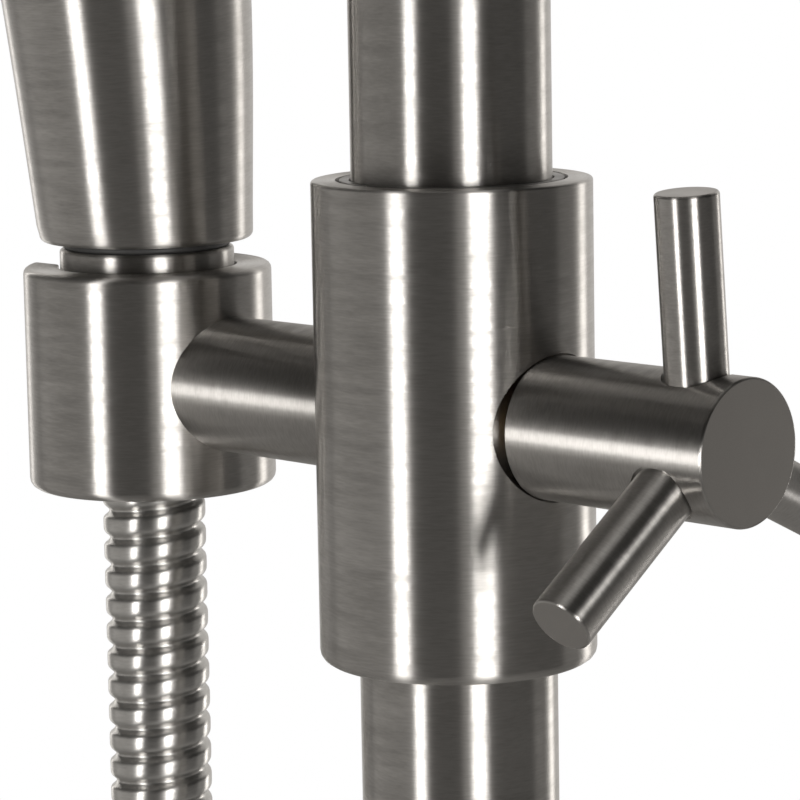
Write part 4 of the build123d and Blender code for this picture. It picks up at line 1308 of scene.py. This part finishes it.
valve = {
    "radius": 0.022,
    "endEdge": 0.001,
    "bossRadius": 0.0135,
    "diverterBoss": 0.020,
    "outletX": 0.060,
    "outletBoss": 0.0125,
    "outletDrop": 0.028,
    "supplySpacing": 0.150,
    "inletBoss": 0.011,
    "inletBossEnd": 0.031,
    "unionRadius": 0.0104,
    "unionTail": 0.014,
    "unionBody": 0.012,
    "unionBodyLength": 0.014,
    "unionNeck": 0.0096,
    "unionBore": 0.007,
    "unionNutFlats": 0.030,
    "nutLip": 0.0025,
    "nutEdge": 0.0008,
    "boreLength": 0.02,
    "bonnet": [            # radius, height above the seat, round
        (0.017, 0.0004), (0.020, 0.0004, 0.0004), (0.020, 0.007, 0.0008), (0.017, 0.009, 0.001),
        (0.009, 0.009), (0.009, 0.003), (0.017, 0.003),
    ],
}
handle = {
    "radius": 0.012,
    "edge": 0.0005,
    "recess": 0.006,
    "recessRadius": 0.0094,
    "leverRadius": 0.0044,
    "leverReach": 0.038,
    "leverInset": 0.009,
    "ring": 0.00035,
    "ringDepth": 0.0009,
    "endRound": 0.0007,
}
outlet = {
    "flats": 0.021,
    "flange": 0.006,
    "nutFlats": 0.025,
    "thread": 0.0104,
    "threadPlay": 0.0001,
    "nutFloor": 0.0021,
    "ferruleBore": 0.0045,
    "ferruleFlange": 0.0102,
    "flangeThick": 0.0024,
    "ferruleRadius": 0.0076,
    "ferruleEdge": 0.0006,
}


def makeValve():
    axis = valveCentre
    half = size("valve_body").x / 2
    bosses = []
    body = rod("valveBody", valve["radius"], axis + left * half, right, 2 * half, valve["endEdge"], 144)
    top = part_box("valve_body")[1].z - axis.z
    bosses.append(rod("riserBoss", valve["bossRadius"], axis, up, top))
    front = axis.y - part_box("valve_body")[0].y
    bosses.append(rod("diverterBoss", valve["diverterBoss"], axis, toBather, front, 0.0008, 120))
    outletTop = Vector((valve["outletX"], axis.y, axis.z))
    bosses.append(rod("outletBoss", valve["outletBoss"], outletTop, down, valve["outletDrop"], 0.0006, 96))
    for side in (-1, 1):
        inlet = Vector((side * valve["supplySpacing"] / 2, axis.y, axis.z))
        bosses.append(rod("inletBoss", valve["inletBoss"], inlet, toWall, -axis.y - valve["inletBossEnd"]))
    for boss in bosses:
        combine(body, boss, "UNION")
    finished(body, steel, "column", "valve_body", [(axis, right, valve["radius"])])


def makeUnions():
    axis = valveCentre
    escutcheons, nuts = [], []
    nutLow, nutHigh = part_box("union_nuts")
    top, rim = size("wall_escutcheons").y, size("wall_escutcheons").z / 2
    wide, neck, bore = valve["unionBody"], valve["unionNeck"], valve["unionBore"]
    nutLength = nutHigh.y - nutLow.y
    for side, node in ((-1, "hot_union"), (1, "cold_union")):
        place = Vector((side * valve["supplySpacing"] / 2, 0, axis.z))
        reach = -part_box(node)[0].y
        union = lathe(node.replace("_union", "Union"), [
            (bore, -valve["unionTail"]), (valve["unionRadius"], -valve["unionTail"], 0.0008),
            (valve["unionRadius"], 0), (wide, 0), (wide, valve["unionBodyLength"], 0.0005),
            (neck, valve["unionBodyLength"]), (neck, reach), (bore, reach),
        ], place, toBather, 96, seam=up)
        finished(union, steel, "column", node)
        escutcheons.append(lathe("cover", [
            (rim - 0.0015, 0), (rim, 0), (rim, 0.003, 0.0008), (rim - 0.009, top - 0.0025, 0.004),
            (wide + 0.004, top, 0.0015), (wide, top), (wide, top - 0.0015), (wide + 0.0036, top - 0.0015),
            (rim - 0.0096, top - 0.004), (rim - 0.0015, 0.0024),
        ], place, toBather, 120, seam=up))
        nutStart = Vector((place.x, nutHigh.y, axis.z))
        piece = hexBlock("unionNut", valve["unionNutFlats"], nutStart, toBather, nutLength,
                         valve["nutEdge"], up)
        combine(piece, rod("nutBore", neck, nutStart + toWall * past, toBather, valve["boreLength"]))
        seat = nutStart + toBather * valve["nutLip"]
        nuts.append(combine(piece, rod("nutBore", valve["inletBoss"], seat, toBather, valve["boreLength"])))
    cover = joined("wallEscutcheons", escutcheons)
    finished(cover, steel, "column", "wall_escutcheons")
    nutPair = joined("unionNuts", nuts)
    finished(nutPair, steel, "column", "union_nuts")


valveKnobs = {             # seat's distance from the valve's centre, way out, the levers' own axes
    "hot": (0.115, left, up, right),
    "cold": (0.115, right, up, right),
    "diverter": (0.034, toBather, up, toWall),
}


def makeHandles():
    bonnets = []
    for name, (reach, out, leverUp, leverAxis) in valveKnobs.items():
        seam = up if out == toBather else toWall
        bonnets.append(lathe("bonnet", valve["bonnet"], valveCentre + out * reach, out, 120, seam=seam))
        node = f"{name}_hub"
        low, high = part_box(node)
        length = abs((high - low).dot(out))
        start = middle(node) - out * (length / 2)
        hub = lathe(f"{name}Hub", [
            (0, handle["recess"]), (handle["recessRadius"], handle["recess"]), (handle["recessRadius"], 0),
            (handle["radius"], 0, handle["edge"]), (handle["radius"], length, handle["edge"]), (0, length),
        ], start, out, 144, seam=seam)
        centre = start + out * (length - handle["leverInset"])
        yAxis = leverAxis.cross(leverUp)
        leverHoles(hub, centre, leverUp, yAxis, 0, handle["leverRadius"], handle["ring"],
                   handle["radius"] - handle["ringDepth"], handle["radius"])
        finished(hub, steel, f"{name}_handle", node, [(start, out, handle["radius"])], faceAxis=out)
        root = handle["radius"] - 2 * handle["ringDepth"]
        levers = knobLevers(f"{name}Levers", handle["leverRadius"], root, handle["leverReach"], centre,
                            leverUp, leverAxis, 0, handle["endRound"])
        dress(levers, slimSteel, f"{name}_handle", f"{name}_levers")
        leverFaces(levers, centre, handle["leverReach"])
    bonnetSet = joined("bonnetNuts", bonnets)
    finished(bonnetSet, steel, "column", "bonnet_nuts")


def makeOutlet():
    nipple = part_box("hose_outlet")
    top = Vector((valve["outletX"], railAxis.y, nipple[1].z))
    hexagon = hexBlock("hoseOutlet", outlet["flats"], top, down, outlet["flange"], 0.0005, right)
    threadRadius = outlet["thread"] - outlet["threadPlay"]
    thread = rod("thread", threadRadius, top, down, nipple[1].z - nipple[0].z, 0.0005)
    combine(hexagon, thread, "UNION")
    finished(hexagon, steel, "column", "hose_outlet")
    low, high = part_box("hose_end_nut")
    nutTop = Vector((valve["outletX"], railAxis.y, high.z))
    piece = hexBlock("hoseEndNut", outlet["nutFlats"], nutTop, down, high.z - low.z, 0.0008, right)
    depth = high.z - low.z - outlet["nutFloor"] - past
    combine(piece, rod("nutBore", outlet["thread"], nutTop + up * past, down, depth))
    ferruleRoom = outlet["ferruleRadius"] + outlet["threadPlay"]
    combine(piece, rod("ferruleBore", ferruleRoom, nutTop, down, 0.03))
    finished(piece, steel, "column", "hose_end_nut")
    low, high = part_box("hose_end_ferrule")
    bore, flange, thick = outlet["ferruleBore"], outlet["ferruleFlange"], outlet["flangeThick"]
    radius, length = outlet["ferruleRadius"], high.z - low.z
    ferrule = lathe("hoseEndFerrule", [
        (bore, 0), (flange, 0), (flange, thick), (radius, thick), (radius, length, outlet["ferruleEdge"]),
        (bore, length),
    ], Vector((valve["outletX"], railAxis.y, high.z)), down, 72)
    finished(ferrule, steel, "column", "hose_end_ferrule")


makeValve()
makeUnions()
makeHandles()
makeOutlet()
print("valve made")


# Studio: pale floor, white surround, two softboxes and grey cards that only the metal mirrors

studio = {
    "floorBelow": 0.32,
    "floorRadius": 2.4,
    "ambient": 0.8,
    "radius": 2.5,
    "highCard": 2.6,
    "lowCard": 1.36,
    "boxes": [             # degrees right of the camera, width, elevation, height, radiance
        (-47.0, 12.0, -5.0, 16.0, 17.0),
        (21.0, 16.5, -5.0, 16.0, 17.0),
    ],
    "strips": [            # from, to, brightness at the band's height
        (-180, -151, 0.7),
        (-151, -144, 2.0),
        (-144, -120, 0.45),
        (-120, -58, 0.68),
        (-58, -36, 0.2),
        (-36, 2, 0.13),
        (2, 10, 0.75),
        (10, 95, 0.16),
        (95, 113, 0.42),
        (113, 126, 0.3),
        (126, 137, 3.8),
        (137, 180, 0.7),
    ],
    "bands": [             # lowest and highest elevation, share of the strip's brightness
        (-28, -20, 0.5),
        (-20, -4, 1.0),
        (-4, 3, 0.6),
        (3, 12, 0.25),
        (12, 46, 0.1),
    ],
    "behind": 150,         # past this angle a strip is as bright all the way up
    "ceiling": 0.05,
    "skylight": 0.4,
    "skylightRadius": 1.15,
    "ground": 0.28,
    "discRadius": 2.75,
    "belowCeiling": 0.05,
    "cardStep": 4,         # degrees
    "boxReach": 0.92,      # share of the cards' radius
    "glow": (1.0, 0.97, 0.93, 1),
    "boxColour": (1.0, 0.985, 0.965),
    "white": (1, 1, 1, 1),
    "ambientColour": (1.0, 0.99, 0.975, 1),
    "floor": {
        "deep": (0.83, 0.82, 0.8), "pale": (0.87, 0.86, 0.84), "rough": 0.8, "grain": 40.0, "clouds": 4.0,
        "bump": 0.02, "depth": 0.001,
    },
}


def studioDirection(angle):
    ahead, side, _ = viewAxes(camera)
    back = Vector((-ahead.x, -ahead.y, 0)).normalized()
    turn = math.radians(angle)
    return back * math.cos(turn) + side * math.sin(turn)


def glowing(name, brightness):
    material, tree = newLook(name)
    tree.nodes.clear()
    emission = addNode(tree, "ShaderNodeEmission", {"Color": studio["glow"], "Strength": brightness})
    addNode(tree, "ShaderNodeOutputMaterial", {"Surface": emission.outputs[0]})
    return material


def onlyMirrored(obj):
    obj.visible_camera = False
    obj.visible_diffuse = False
    obj.visible_shadow = False


def addCard(label, fromAngle, toAngle, low, high, brightness):
    count = max(2, int((toAngle - fromAngle) / studio["cardStep"]))
    reach = studio["radius"]
    points, faces = [], []
    for step in range(count + 1):
        direction = studioDirection(fromAngle + (toAngle - fromAngle) * step / count)
        for elevation in (low, high):
            height = reach * math.tan(math.radians(elevation))
            points.append(tuple(sliderCentre + direction * reach + up * height))
    for step in range(count):
        faces.append((2 * step, 2 * step + 2, 2 * step + 3, 2 * step + 1))
    mesh = bpy.data.meshes.new(f"card{label}")
    mesh.from_pydata(points, [], faces)
    mesh.materials.append(glowing(f"card{label}", brightness))
    onlyMirrored(newPiece(f"card{label}", mesh))


def addDisc(name, z, radius, material):
    disc = lathe(name, [(0, 0), (radius, 0), (radius, 0.01), (0, 0.01)], onRail(z), up, 96)
    disc.data.materials.append(material)
    return disc


def addSoftbox(index, angle, width, elevation, height, radiance):
    reach = studio["radius"] * studio["boxReach"]
    spanX = 2 * reach * math.tan(math.radians(width / 2))
    spanY = 2 * reach * math.tan(math.radians(height / 2))
    data = bpy.data.lights.new(f"softbox{index}", "AREA")
    data.shape = "RECTANGLE"
    data.size, data.size_y = spanX, spanY
    data.energy = radiance * math.pi * spanX * spanY
    data.color = studio["boxColour"]
    obj = bpy.data.objects.new(f"softbox{index}", data)
    bpy.context.scene.collection.objects.link(obj)
    direction = studioDirection(angle)
    place = sliderCentre + direction * reach + up * (reach * math.tan(math.radians(elevation)))
    obj.location = place
    obj.rotation_mode = "QUATERNION"
    obj.rotation_quaternion = (sliderCentre - place).to_track_quat("-Z", "Y")
    obj.visible_camera = False


def addWorld():
    world = bpy.data.worlds.new("studio")
    bpy.context.scene.world = world
    world.use_nodes = True
    tree = world.node_tree
    tree.nodes.clear()
    rays = addNode(tree, "ShaderNodeLightPath", {})
    seen = rays.outputs["Is Camera Ray"]
    for name in ("Is Glossy Ray", "Is Transmission Ray"):
        seen = addMath(tree, "MAXIMUM", seen, rays.outputs[name])
    ambient = addNode(tree, "ShaderNodeBackground", {
        "Color": studio["ambientColour"], "Strength": studio["ambient"],
    })
    white = addNode(tree, "ShaderNodeBackground", {"Color": studio["white"], "Strength": 1})
    mixed = addNode(tree, "ShaderNodeMixShader", {0: seen, 1: ambient.outputs[0], 2: white.outputs[0]})
    addNode(tree, "ShaderNodeOutputWorld", {"Surface": mixed.outputs[0]})


def makeStudio():
    floorLook = plainLook("floorLook", studio["floor"])
    addDisc("floor", cadLow.z - studio["floorBelow"], studio["floorRadius"], floorLook)
    for number, (fromAngle, toAngle, brightness) in enumerate(studio["strips"]):
        behind = max(abs(fromAngle), abs(toAngle)) > studio["behind"]
        for level, (low, high, share) in enumerate(studio["bands"]):
            glow = brightness * (1 if behind else share)
            addCard(f"{number}{level}", fromAngle, toAngle, low, high, glow)
    discs = (
        ("ceiling", studio["highCard"], studio["discRadius"]),
        ("skylight", studio["highCard"] - studio["belowCeiling"], studio["skylightRadius"]),
        ("ground", -studio["lowCard"], studio["discRadius"]),
    )
    for name, height, radius in discs:
        onlyMirrored(addDisc(name, sliderCentre.z + height, radius, glowing(name, studio[name])))
    for index, box in enumerate(studio["boxes"]):
        addSoftbox(index, *box)
    addWorld()
    bpy.context.scene.view_settings.view_transform = "Standard"


makeStudio()
print("studio made")
